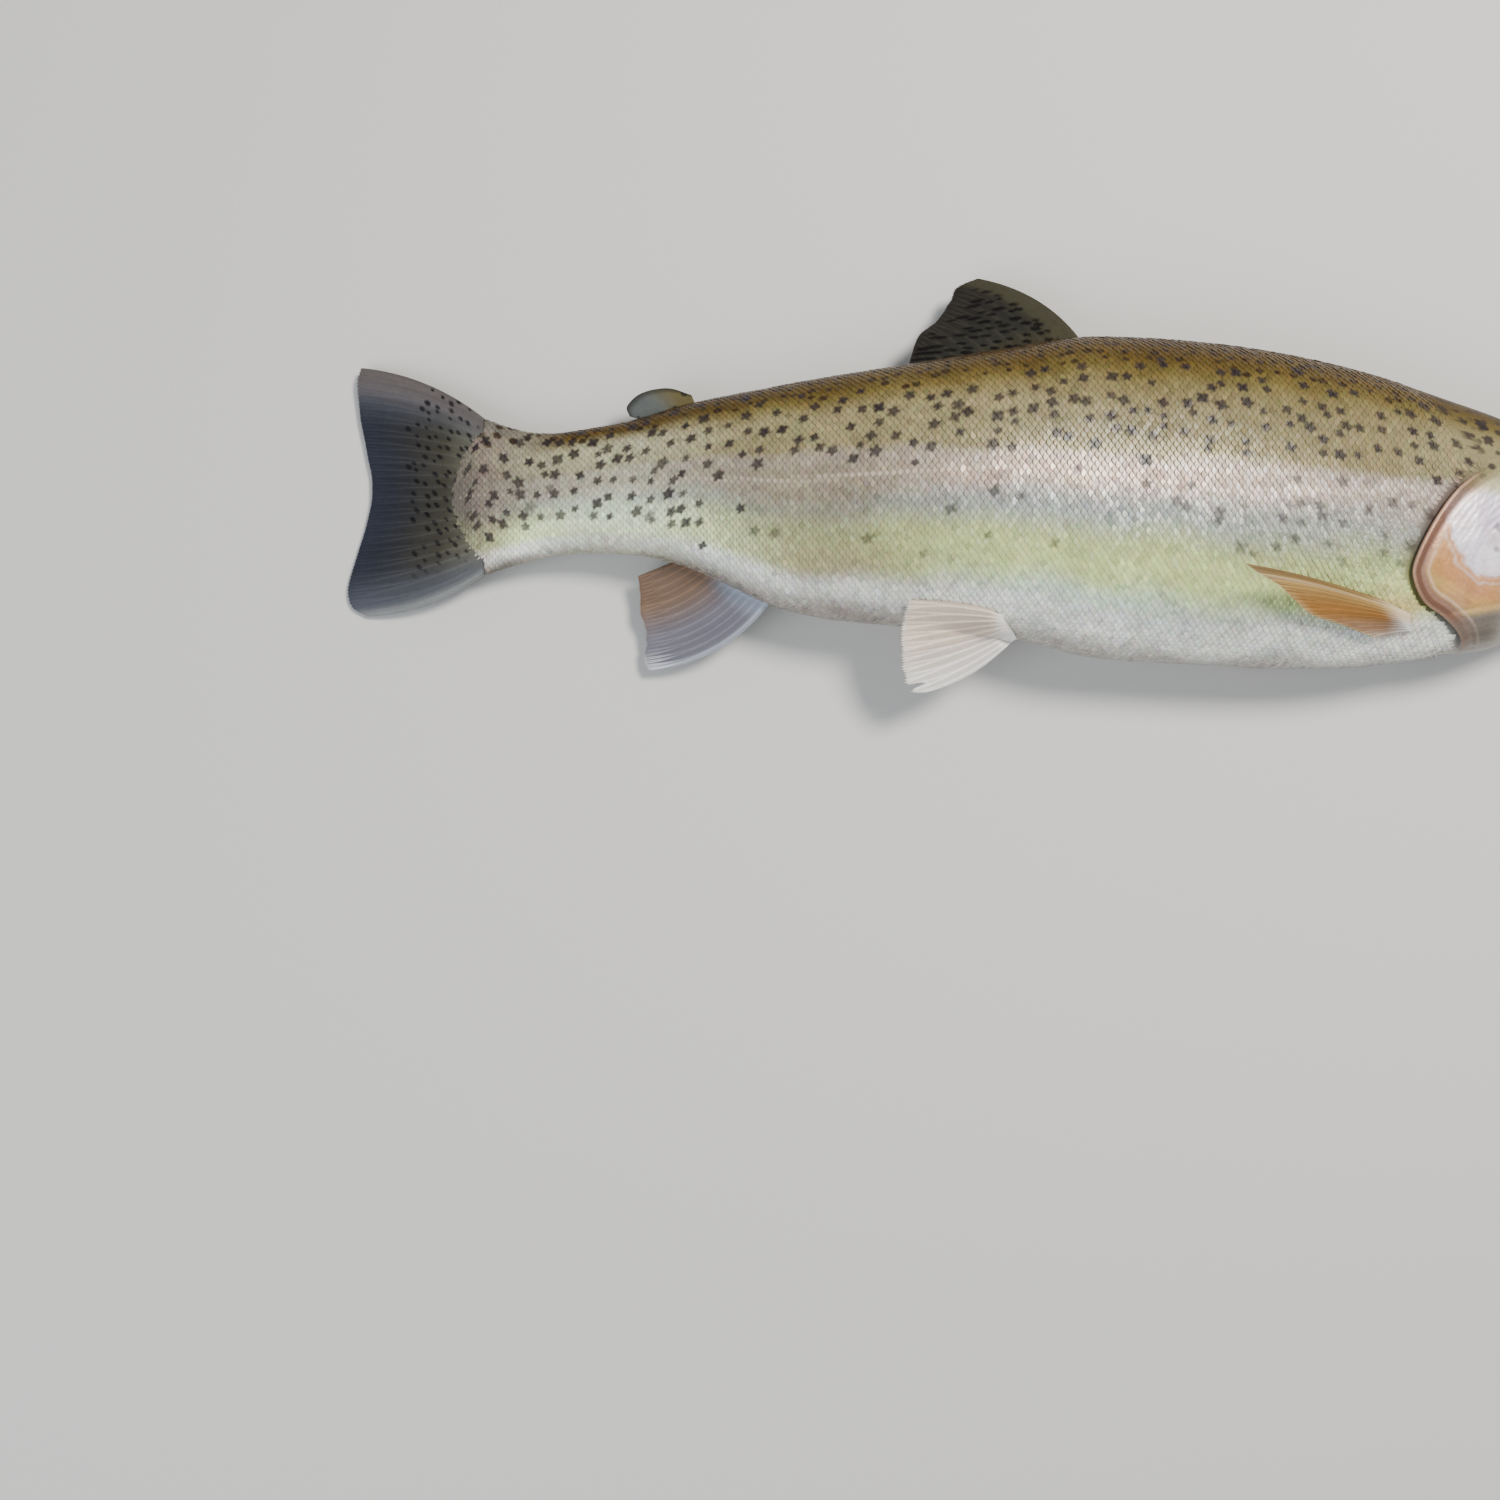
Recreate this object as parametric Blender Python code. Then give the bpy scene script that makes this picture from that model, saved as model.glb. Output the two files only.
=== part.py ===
"""A rainbow trout at life size, lying on its left side with its tail drooping to the floor.

The snout points along +X, the back faces +Y and the right flank faces up (+Z). The origin is at
the middle of the fish's box, on the floor. Design sizes are in millimetres, and MM turns them
into metres as each mesh is made.

The body is one lofted shape. Cutters part it into head, jaw, throat, gill covers and trunk, with
a thin gap between neighbours. Fins are thin blades whose roots are cut to fit the body.
"""

import math

import bpy
import numpy as np

MM = 0.001
GAP = 0.3

LENGTH = 460.0
SNOUT_X = LENGTH / 2
SNOUT_Y = -22.0
NOSE_ROUNDING = 12.0
WIDEST = 0.53
SEGMENTS = 32
FLOOR_BLEND = 0.7

# Distance behind the snout, back, belly, half width, and height of the middle plane.
PROFILE = (
    (0, -11.0, -33.5, 8.5, 20.0),
    (12, -2.5, -38.5, 13.0, 21.0),
    (31, 8.5, -48.0, 18.5, 22.8),
    (55, 20.3, -57.6, 23.0, 24.7),
    (76, 28.2, -61.2, 25.2, 25.6),
    (95, 34.6, -64.0, 26.2, 26.2),
    (120, 41.1, -65.4, 27.6, 26.8),
    (150, 46.2, -64.5, 28.3, 27.1),
    (185, 49.0, -62.6, 28.3, 27.0),
    (202, 48.9, -60.4, 28.1, 26.9),
    (216, 46.9, -56.6, 27.8, 26.7),
    (232, 44.4, -54.1, 27.2, 26.3),
    (265, 39.4, -50.4, 24.8, 25.0),
    (300, 34.3, -45.3, 20.5, 22.6),
    (312, 32.2, -41.0, 18.9, 21.6),
    (325, 30.1, -34.4, 16.7, 20.3),
    (340, 27.0, -28.2, 13.9, 18.7),
    (355, 22.9, -25.0, 11.6, 17.2),
    (370, 20.3, -24.2, 9.8, 15.9),
    (385, 18.8, -25.3, 8.0, 14.6),
    (396, 20.3, -27.9, 5.9, 13.6),
    (408, 24.6, -31.6, 3.3, 12.4),
)
HEAD_END = 95.0
HEAD_LOFT_END = 100.0
TRUNK_START = 42.0
NOSE_STATIONS = (0.0, 0.5, 2.2, 5.0, 8.5)
NOSE_END = 12.5
HEAD_ROUNDNESS = (2.4, 1.95)
TRUNK_ROUNDNESS = (2.1, 2.2)
ROUND_START = 40.0
ROUND_RUN = 70.0
STATION_STEP = 8.5
HEAD_STEP = 6.3
TRUNK_CUTS = (170.0, 265.0, 357.0, 408.0)

# The free edge of the gill cover, from its top corner round its rear to the throat, and the
# lower edge of its plates, below which only the gill membrane goes on.
GILL_EDGE = ((163, 2.5), (155, -2.5), (147.6, -9), (140.6, -19), (135.6, -30), (135.4, -36.5),
             (140, -44), (148, -48.8))
GILL_LOWER = ((156, -49.8), (165, -49.4))
GILL_FRONT = ((176, -47), (171, -36), (167.8, -24), (167.5, -10), (170, 0.5))
GILL_PROUD = 0.9
PROUD_START = 45.0
PROUD_RUN = 30.0
GILL_THICKNESS = 3.0
NAPE = ((152, 80), (155, 45), (160, 25))
BREAST = ((155.4, -54.2), (160, -60), (164, -75))
HEAD_FRONT = ((250, -75), (250, 80))

MOUTH_LINE = ((250, -20), (231, -26.3), (214, -31), (200, -37), (188, -43.5), (182, -48.5))
JAW_REAR = ((183.5, -55), (189, -75), (250, -75))
THROAT = ((134, -46.5), (148, -48.5), (156, -49.5), (165, -49.1), (176, -46.7), (183, -47),
          (200, -47), (200, -80), (134, -80))
MAXILLA = ((223, -24.2), (212, -25.6), (200, -30.4), (190, -36.6), (184.4, -41.5),
           (183.6, -45), (187, -46.4), (196, -42.2), (208, -35.2), (218, -29))
MAXILLA_THICKNESS = 1.5

ROOT_TAPER = 2.2
# Heights of the cutters, which run past the body above and below.
ZONE = (-10.0, 90.0)
ROOM = (-11.0, 91.0)

EYE_BACK = 31.5
EYE_Y = -9.5
EYE_RADIUS = 7.6
EYE_DEPTH = 4.6
EYE_BULGE = 1.3


def natural_spline(places, values):
    """The smooth cubic curve through the given values, as a function of place."""
    x = np.array(places, float)
    y = np.array(values, float)
    step = np.diff(x)
    slope = np.diff(y) / step
    matrix = np.eye(len(x))
    target = np.zeros(len(x))
    for i in range(1, len(x) - 1):
        matrix[i, i - 1 : i + 2] = step[i - 1], 2 * (step[i - 1] + step[i]), step[i]
        target[i] = 6 * (slope[i] - slope[i - 1])
    bend = np.linalg.solve(matrix, target)

    def at(place):
        i = int(np.clip(np.searchsorted(x, place) - 1, 0, len(x) - 2))
        a = (x[i + 1] - place) / step[i]
        b = 1 - a
        cubic = (a**3 - a) * bend[i] + (b**3 - b) * bend[i + 1]
        return float(a * y[i] + b * y[i + 1] + cubic * step[i] ** 2 / 6)

    return at


def columns(rows):
    """One smooth curve for each column of a profile after its first."""
    places, *values = zip(*rows)
    return [natural_spline(places, value) for value in values]


BACK, BELLY, HALF_WIDTH, MIDDLE = columns(PROFILE)


def ease(value):
    """0 below 0, 1 above 1, and a smooth rise between."""
    t = min(max(value, 0.0), 1.0)
    return t * t * (3 - 2 * t)


def above_floor(z):
    """Flattens what would pass below the floor, with a short round transition."""
    if z <= -FLOOR_BLEND:
        return 0.0
    if z < FLOOR_BLEND:
        return (z + FLOOR_BLEND) ** 2 / (4 * FLOOR_BLEND)
    return z


def signed_power(value, power):
    return math.copysign(abs(value) ** power, value)


def section_sizes(behind, grow=0.0, proud=0.0):
    """Back, belly, half width and middle height of the cross-section this far behind the snout."""
    nose = 1.0
    if behind < NOSE_ROUNDING:
        nose = math.sqrt(max(0.0, 1 - (1 - behind / NOSE_ROUNDING) ** 2))
    back = SNOUT_Y + (BACK(behind) - SNOUT_Y) * nose + grow
    belly = SNOUT_Y + (BELLY(behind) - SNOUT_Y) * nose - grow
    half = HALF_WIDTH(behind) * nose + grow + proud * ease((behind - PROUD_START) / PROUD_RUN)
    return back, belly, half, MIDDLE(behind)


def roundness(behind):
    """Superellipse exponents of the upper and lower half of a section."""
    t = ease((behind - ROUND_START) / ROUND_RUN)
    return [a + (b - a) * t for a, b in zip(HEAD_ROUNDNESS, TRUNK_ROUNDNESS)]


def section(behind, grow=0.0, proud=0.0):
    """The ring of points round the body this far behind the snout."""
    back, belly, half, middle = section_sizes(behind, grow, proud)
    widest = belly + WIDEST * (back - belly)
    upper, lower = roundness(behind)
    ring = []
    for i in range(SEGMENTS):
        angle = 2 * math.pi * i / SEGMENTS
        across, out = math.cos(angle), math.sin(angle)
        reach = back - widest if across > 0 else widest - belly
        power = 2 / (upper if across > 0 else lower)
        y = widest + reach * signed_power(across, power)
        z = middle + half * signed_power(out, power)
        ring.append((SNOUT_X - behind, y, above_floor(z + grow) - grow))
    return ring


def flank_height(x, y):
    """Height of the upper flank's surface over a place inside the outline."""
    behind = SNOUT_X - x
    back, belly, half, middle = section_sizes(behind)
    widest = belly + WIDEST * (back - belly)
    upper, lower = roundness(behind)
    reach = back - widest if y > widest else widest - belly
    power = upper if y > widest else lower
    inside = 1 - min(1.0, abs(y - widest) / reach) ** power
    return middle + half * inside ** (1 / power)


def stations(start, end, step):
    count = max(2, round((end - start) / step) + 1)
    return np.linspace(start, end, count)


def clear_scene():
    for old in list(bpy.data.objects):
        bpy.data.objects.remove(old)


def finish(name, colour, roughness_value, metallic=0.0):
    """A Principled material."""
    material = bpy.data.materials.new(name)
    material.use_nodes = True
    shader = material.node_tree.nodes["Principled BSDF"]
    shader.inputs["Base Color"].default_value = (*colour, 1)
    shader.inputs["Roughness"].default_value = roughness_value
    shader.inputs["Metallic"].default_value = metallic
    return material


def solid(name, points, faces, material=None):
    """A mesh object from points in millimetres."""
    mesh = bpy.data.meshes.new(name)
    mesh.from_pydata([tuple(c * MM for c in p) for p in points], [], faces)
    mesh.update()
    if material:
        mesh.materials.append(material)
    mesh.shade_smooth()
    mesh.set_sharp_from_angle(angle=math.radians(40))
    made = bpy.data.objects.new(name, mesh)
    bpy.context.scene.collection.objects.link(made)
    return made


def as_cutter(made):
    made.hide_render = True
    made.display_type = "WIRE"
    return made


def boolean(made, cutter, operation):
    modifier = made.modifiers.new(f"{operation.lower()}_{cutter.name}", "BOOLEAN")
    modifier.operation = operation
    modifier.solver = "EXACT"
    modifier.object = cutter


def cut(made, *cutters):
    for cutter in cutters:
        boolean(made, cutter, "DIFFERENCE")


def keep(made, *zones):
    for zone in zones:
        boolean(made, zone, "INTERSECT")


def loft(name, places, material=None, grow=0.0, proud=0.0):
    """The body between its first and last place, closed at both ends."""
    rings = [section(behind, grow, proud) for behind in places if behind > 0]
    points = [p for ring in rings for p in ring]
    faces = []
    for r in range(len(rings) - 1):
        for i in range(SEGMENTS):
            j = (i + 1) % SEGMENTS
            low, high = r * SEGMENTS, (r + 1) * SEGMENTS
            faces.append((low + i, high + i, high + j, low + j))
    if places[0] > 0:
        faces.append(tuple(range(SEGMENTS)))
    else:
        tip = len(points)
        points.append((SNOUT_X + grow, SNOUT_Y, MIDDLE(0)))
        faces += [(tip, i, (i + 1) % SEGMENTS) for i in range(SEGMENTS)]
    last = (len(rings) - 1) * SEGMENTS
    faces.append(tuple(last + i for i in range(SEGMENTS))[::-1])
    return solid(name, points, faces, material)


def smooth_path(path, steps):
    """Points along a Catmull-Rom curve through an open path."""
    p = [np.array(q, float) for q in path]
    p = [2 * p[0] - p[1], *p, 2 * p[-1] - p[-2]]
    made = []
    for a, b, c, d in zip(p, p[1:], p[2:], p[3:]):
        for k in range(steps):
            t = k / steps
            line = 2 * b + (c - a) * t + (2 * a - 5 * b + 4 * c - d) * t**2
            made.append((line + (3 * b - a - 3 * c + d) * t**3) / 2)
    return [*made, p[-2]]


def grown(outline, by):
    """A closed outline moved outwards."""
    p = np.array(outline, float)
    after, before = np.roll(p, -1, axis=0), np.roll(p, 1, axis=0)
    area = np.sum(p[:, 0] * after[:, 1] - after[:, 0] * p[:, 1])
    along = after - before
    along /= np.linalg.norm(along, axis=1, keepdims=True)
    outward = np.stack([along[:, 1], -along[:, 0]], axis=1) * math.copysign(1, area)
    return p + outward * by


def prism(name, outline, low, high, grow=0.0):
    """A cutter: an outline seen from above, as a block between two heights."""
    p = grown(outline, grow)
    if np.sum(p[:, 0] * np.roll(p[:, 1], -1) - np.roll(p[:, 0], -1) * p[:, 1]) < 0:
        p = p[::-1]
    n = len(p)
    points = [(*q, low) for q in p] + [(*q, high) for q in p]
    sides = [(i, (i + 1) % n, n + (i + 1) % n, n + i) for i in range(n)]
    faces = [tuple(range(n))[::-1], tuple(range(n, 2 * n)), *sides]
    return as_cutter(solid(name, points, faces))


def zones():
    """Outlines, seen from above, of what the head is parted into."""
    gill_edge = smooth_path(GILL_EDGE, 2)
    return {
        "head": [*NAPE, *gill_edge, *BREAST, *HEAD_FRONT],
        "jaw": [*smooth_path(MOUTH_LINE, 2), *JAW_REAR],
        "throat": THROAT,
        "gill": [*gill_edge, *GILL_LOWER, *smooth_path(GILL_FRONT, 2)],
        "maxilla": smooth_path([*MAXILLA, MAXILLA[0]], 3)[:-1],
    }


def plate(side, part, outline, thickness, skins, material):
    """A plate lying on one side of the head, and the cutter that makes room for it."""
    middle = MIDDLE(HEAD_END / 2)
    low, high = (middle, ZONE[1]) if side == "right" else (ZONE[0], middle)
    name = f"{part}_{side}"
    made = loft(name, skins["places"], material, proud=GILL_PROUD)
    keep(made, prism(f"cut_{name}_zone", outline, low, high))
    inner = as_cutter(loft(f"cut_{name}_inner", skins["inner"], None, -thickness, GILL_PROUD))
    cut(made, inner)
    room = prism(f"cut_{name}_room", outline, low, high, GAP)
    core = loft(f"cut_{name}_core", skins["inner"], None, -thickness - GAP, GILL_PROUD)
    cut(room, as_cutter(core))
    return room


def ellipsoid(name, centre, radii, material=None):
    """A ball scaled in each direction, with its poles up and down."""
    around, rows = 18, 8
    points = [(centre[0], centre[1], centre[2] + radii[2])]
    for r in range(1, rows):
        lift = math.pi * r / rows
        for i in range(around):
            turn = 2 * math.pi * i / around
            offset = (math.sin(lift) * math.cos(turn), math.sin(lift) * math.sin(turn),
                      math.cos(lift))
            points.append(tuple(c + o * k for c, o, k in zip(centre, offset, radii)))
    points.append((centre[0], centre[1], centre[2] - radii[2]))
    last = len(points) - 1
    faces = [(0, 1 + i, 1 + (i + 1) % around) for i in range(around)]
    for r in range(rows - 2):
        for i in range(around):
            a, b = 1 + r * around + i, 1 + r * around + (i + 1) % around
            faces.append((a, a + around, b + around, b))
    start = last - around
    faces += [(start + i, last, start + (i + 1) % around) for i in range(around)]
    return solid(name, points, faces, material)


def eye(side, material):
    """An eyeball, and the socket cutter round it."""
    x = SNOUT_X - EYE_BACK
    surface = flank_height(x, EYE_Y)
    middle = MIDDLE(EYE_BACK)
    out = surface + EYE_BULGE - EYE_DEPTH
    z = out if side == "right" else 2 * middle - out
    radii = (EYE_RADIUS, EYE_RADIUS, EYE_DEPTH)
    ellipsoid(f"eye_{side}", (x, EYE_Y, z), radii, material)
    wider = tuple(r + GAP for r in radii)
    return as_cutter(ellipsoid(f"cut_eye_{side}", (x, EYE_Y, z), wider))


def head_parts(looks):
    """The head, lower jaw, throat, gill covers, upper jaw plates and eyes."""
    outline = zones()
    places = [*NOSE_STATIONS, *stations(NOSE_END, HEAD_LOFT_END, HEAD_STEP)]
    skins = {"places": places, "inner": places[3:]}
    head_zone = prism("cut_head_zone", outline["head"], *ZONE)
    jaw_zone = prism("cut_jaw_zone", outline["jaw"], *ZONE)
    jaw_room = prism("cut_jaw_room", outline["jaw"], *ROOM, GAP)
    throat_zone = prism("cut_throat_zone", outline["throat"], *ZONE)
    throat_room = prism("cut_throat_room", outline["throat"], *ROOM, GAP)
    gill_rooms = []
    maxilla_rooms = []
    sockets = []
    for side in ("right", "left"):
        gill_rooms.append(
            plate(side, "gill_cover", outline["gill"], GILL_THICKNESS, skins, looks["cheek"]))
        maxilla_rooms.append(
            plate(side, "maxilla", outline["maxilla"], MAXILLA_THICKNESS, skins, looks["cheek"]))
        sockets.append(eye(side, looks["eye"]))
    head = loft("head", places, looks["head"], proud=GILL_PROUD)
    keep(head, head_zone)
    cut(head, jaw_room, throat_room, *gill_rooms, *maxilla_rooms, *sockets)
    jaw = loft("lower_jaw", places, looks["belly"], proud=GILL_PROUD)
    keep(jaw, jaw_zone)
    cut(jaw, *maxilla_rooms)
    throat = loft("throat", places, looks["belly"], proud=GILL_PROUD)
    keep(throat, head_zone, throat_zone)
    cut(throat, jaw_room, *gill_rooms)
    return outline["head"]


def trunk_parts(head_outline, looks):
    """The trunk in three lengths and the tail stalk."""
    names = ("trunk_front", "trunk_middle", "trunk_rear", "tail_stalk")
    start = TRUNK_START
    for name, end in zip(names, TRUNK_CUTS):
        made = loft(name, stations(start, end, STATION_STEP), looks["flank"])
        if name == "trunk_front":
            cut(made, prism("cut_head_room", head_outline, *ROOM, GAP))
        start = end + GAP


def blade(name, base, margin, bows, thickness, grid, material, over_body=0.0, level=False):
    """A thin fin: rays from the base line to the margin, with the first and last ray bowed.

    thickness is (root, edge). over_body keeps the blade this far above the flank. level measures
    the thickness straight up and down.
    """
    rays, steps = grid
    roots = resampled(base, rays)
    ends = resampled(smooth_path(margin, 6), rays)
    middle = np.zeros((rays, steps, 3))
    plane = np.cross(roots[-1] - roots[0], ends[0] - roots[0])
    plane /= np.linalg.norm(plane)
    for i in range(rays):
        u = i / (rays - 1)
        bow = bows[0] + (bows[1] - bows[0]) * u
        along = ends[i] - roots[i]
        sideways = np.cross(plane, along / np.linalg.norm(along))
        for j in range(steps):
            v = j / (steps - 1)
            middle[i, j] = roots[i] + along * v + sideways * bow * 4 * v * (1 - v)
            if over_body:
                low = flank_height(*middle[i, j, :2]) + over_body
                middle[i, j, 2] = max(middle[i, j, 2], low)
    return blade_solid(name, middle, thickness, material, level)


def resampled(path, count):
    """Evenly spaced points along a path."""
    p = np.array(path, float)
    length = np.concatenate([[0], np.cumsum(np.linalg.norm(np.diff(p, axis=0), axis=1))])
    at = np.linspace(0, length[-1], count)
    return np.stack([np.interp(at, length, p[:, k]) for k in range(3)], axis=1)


def blade_solid(name, middle, thickness, material, level):
    """Two sheets either side of a middle surface, joined round their rim."""
    rays, steps = middle.shape[:2]
    root, edge = thickness
    across = np.gradient(middle, axis=0)
    along = np.gradient(middle, axis=1)
    normal = np.cross(across, along)
    normal /= np.linalg.norm(normal, axis=2, keepdims=True)
    if normal[..., 2].mean() < 0:
        normal = -normal
    if level:
        normal[:] = (0, 0, 1)
    v = np.linspace(0, 1, steps)[None, :, None]
    u = np.linspace(-1, 1, rays)[:, None, None]
    full = edge + (root - edge) * (1 - v) ** ROOT_TAPER * (1 - u**4)
    top, bottom = middle + normal * full / 2, middle - normal * full / 2
    points = [*top.reshape(-1, 3), *bottom.reshape(-1, 3)]
    half = rays * steps
    cells = [(i * steps + j, i * steps + j + 1, (i + 1) * steps + j + 1, (i + 1) * steps + j)
             for i in range(rays - 1) for j in range(steps - 1)]
    first = np.cross(middle[1, 0] - middle[0, 0], middle[0, 1] - middle[0, 0])
    turned = first[2] > 0
    faces = [c[::-1] if turned else c for c in cells]
    faces += [tuple(half + k for k in (c if turned else c[::-1])) for c in cells]
    rim = [j for j in range(steps)]
    rim += [i * steps + steps - 1 for i in range(1, rays)]
    rim += [(rays - 1) * steps + j for j in range(steps - 2, -1, -1)]
    rim += [i * steps for i in range(rays - 2, 0, -1)]
    for a, b in zip(rim, rim[1:] + rim[:1]):
        side = (a, b, half + b, half + a)
        faces.append(side if turned else side[::-1])
    return solid(name, points, faces, material)


def fin_parts(looks):
    """All the fins, each cut to clear the body."""
    places = [*NOSE_STATIONS, *stations(NOSE_END, TRUNK_CUTS[-1], HEAD_STEP)]
    room = as_cutter(loft("cut_body_room", places, None, GAP))
    fin = looks["fin"]
    pale = looks["pale_fin"]
    made = [
        blade("dorsal_fin", ((32, 45.5, 27), (-28, 36.5, 24)),
              ((-3.9, 74.0, 13), (-11, 71, 12), (-14, 65, 13), (-18.5, 58, 15),
               (-25, 52, 18), (-28.5, 42, 22.5)),
              (5.5, 0), (2.6, 0.7), (12, 7), fin),
        blade("adipose_fin", ((-102.5, 26, 20.5), (-118, 21.5, 18)),
              ((-104.6, 31, 19.5), (-113, 33.8, 18), (-122.4, 32.2, 17), (-127.5, 28, 15.5),
               (-126.6, 24.4, 15.5)),
              (0, 0), (3.2, 1.2), (9, 5), fin),
        blade("anal_fin", ((-75.5, -40, 22), (-108, -26, 18)),
              ((-120.8, -64.9, 6), (-122.6, -60.5, 6), (-122, -50.6, 7), (-123.6, -44.6, 8),
               (-123.6, -39, 9), (-124.2, -31.5, 11)),
              (6.0, 0), (2.8, 0.7), (11, 7), fin),
        blade("pelvic_fin_right", ((7, -54.5, 28.5), (1, -47.5, 33)),
              ((-24.5, -73.9, 26), (-29.5, -73, 26), (-31.8, -67.5, 28), (-32.6, -60.1, 31),
               (-32.9, -51.8, 35), (-31.4, -43.2, 41.5)),
              (3.4, -1.5), (2.6, 0.7), (11, 8), pale, 1.0),
        blade("pelvic_fin_left", ((8, -51.5, 19), (2, -43, 12)),
              ((-21, -66.5, 1.6), (-26, -65, 1.2), (-28.5, -58, 1.0), (-28.5, -50, 1.0),
               (-26, -42, 1.4)),
              (1.5, 0), (2.6, 0.7), (9, 7), pale),
        blade("pectoral_fin_right", ((135.5, -47, 42.5), (137.5, -53.5, 39.5)),
              ((73.5, -34, 70), (79, -36.4, 65.5), (87.6, -40.2, 60.5), (94.2, -44.6, 56),
               (101.2, -49, 52.5), (112, -52, 49.5), (124.7, -56, 46)),
              (2.0, 0), (3.2, 0.8), (11, 8), pale, 1.0),
        blade("pectoral_fin_left", ((136, -48, 12), (137.5, -54, 14)),
              ((74, -57, 1.2), (81, -60.5, 1.0), (93, -63, 1.0), (106, -63.5, 1.2),
               (118, -62, 3)),
              (1, 0), (3.2, 0.8), (9, 7), pale),
    ]
    for each in made:
        cut(each, room)
    caudal_fin(fin)


def caudal_fin(material):
    """The tail fin, fanning from the end of the stalk."""
    end = TRUNK_CUTS[-1]
    back, belly, half, middle = section_sizes(end)
    x = SNOUT_X - end - GAP
    base = ((x, back - 0.4, middle), (x, belly + 0.4, middle))
    margin = ((-224.8, 44.4, 4), (-226.2, 38, 3.4), (-224.6, 22, 2.6), (-221, 3, 2.4),
              (-222.6, -10, 2.2), (-226.2, -22, 2), (-229.8, -34, 1.8), (-228.8, -41.5, 1.6),
              (-223, -45.2, 1.6))
    blade("caudal_fin", base, margin, (3.6, -3.4), (2 * half - 0.4, 0.7), (15, 9), material,
          level=True)


def main():
    clear_scene()
    looks = {
        "flank": finish("flank", (0.42, 0.45, 0.36), 0.3, 0.35),
        "head": finish("head", (0.3, 0.3, 0.17), 0.3, 0.2),
        "cheek": finish("cheek", (0.62, 0.5, 0.4), 0.25, 0.3),
        "belly": finish("belly", (0.72, 0.75, 0.74), 0.35, 0.2),
        "eye": finish("eye", (0.05, 0.05, 0.04), 0.08),
        "fin": finish("fin", (0.16, 0.18, 0.17), 0.4),
        "pale_fin": finish("pale_fin", (0.68, 0.55, 0.42), 0.4),
    }
    head_outline = head_parts(looks)
    trunk_parts(head_outline, looks)
    fin_parts(looks)


main()
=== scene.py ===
"""The looks of a rainbow trout: skin, scales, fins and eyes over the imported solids.

Sizes are in millimetres until a mesh is made. "behind" is the distance behind the snout, "turn"
the angle round a cross-section from the back ridge over the right flank, and "arc" the distance
round the girth from the lateral line, positive towards the back.
"""

import math

import bpy
import numpy as np
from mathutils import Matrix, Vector


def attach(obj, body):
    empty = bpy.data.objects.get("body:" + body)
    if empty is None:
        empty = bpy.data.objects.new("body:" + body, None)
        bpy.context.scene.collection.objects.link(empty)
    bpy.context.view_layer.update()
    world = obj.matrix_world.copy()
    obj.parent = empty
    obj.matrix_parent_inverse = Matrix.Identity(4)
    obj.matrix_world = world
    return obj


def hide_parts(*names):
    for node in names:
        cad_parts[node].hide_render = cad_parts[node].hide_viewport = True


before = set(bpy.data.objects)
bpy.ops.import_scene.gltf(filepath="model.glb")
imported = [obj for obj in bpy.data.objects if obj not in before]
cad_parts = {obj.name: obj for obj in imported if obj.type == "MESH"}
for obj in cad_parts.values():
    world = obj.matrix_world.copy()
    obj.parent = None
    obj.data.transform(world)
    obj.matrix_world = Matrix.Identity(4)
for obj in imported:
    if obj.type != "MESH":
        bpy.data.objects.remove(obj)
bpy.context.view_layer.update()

MM = 0.001
SNOUT_X = 230.0
SNOUT_Y = -22.0
NOSE_ROUNDING = 12.0
WIDEST = 0.53
FLOOR_BLEND = 0.7

# Distance behind the snout, back, belly, half width, and height of the middle plane.
PROFILE = (
    (0, -11.0, -33.5, 8.5, 20.0),
    (12, -2.5, -38.5, 13.0, 21.0),
    (31, 8.5, -48.0, 18.5, 22.8),
    (55, 20.3, -57.6, 23.0, 24.7),
    (76, 28.2, -61.2, 25.2, 25.6),
    (95, 34.6, -64.0, 26.2, 26.2),
    (120, 41.1, -65.4, 27.6, 26.8),
    (150, 46.2, -64.5, 28.3, 27.1),
    (185, 49.0, -62.6, 28.3, 27.0),
    (202, 48.9, -60.4, 28.1, 26.9),
    (216, 46.9, -56.6, 27.8, 26.7),
    (232, 44.4, -54.1, 27.2, 26.3),
    (265, 39.4, -50.4, 24.8, 25.0),
    (300, 34.3, -45.3, 20.5, 22.6),
    (312, 32.2, -41.0, 18.9, 21.6),
    (325, 30.1, -34.4, 16.7, 20.3),
    (340, 27.0, -28.2, 13.9, 18.7),
    (355, 22.9, -25.0, 11.6, 17.2),
    (370, 20.3, -24.2, 9.8, 15.9),
    (385, 18.8, -25.3, 8.0, 14.6),
    (396, 20.3, -27.9, 5.9, 13.6),
    (408, 24.6, -31.6, 3.3, 12.4),
)
HEAD_ROUNDNESS = (2.4, 1.95)
TRUNK_ROUNDNESS = (2.1, 2.2)
BODY_END = 408.0
TAIL_WEDGE = 13.0
WEDGE_SLOPE = 0.23
WEDGE_EDGE = 0.75
GILL_PROUD = 0.9
SKIN_INSET = 0.5
HEAD_INSET = 0.1

GILL_EDGE = ((163, 2.5), (155, -2.5), (147.6, -9), (140.6, -19), (135.6, -30), (135.4, -36.5),
             (140, -44), (148, -48.8), (155.4, -54.2), (160.4, -60.4))
NAPE = ((154, 28.0), (158, 18.0))
EYE_BACK = 31.5
EYE_Y = -9.5
EYE_RADIUS = 7.6
EYE_DEPTH = 4.6
EYE_BULGE = 1.3

rng = np.random.default_rng(7)


# ---------------- shapes


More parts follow.
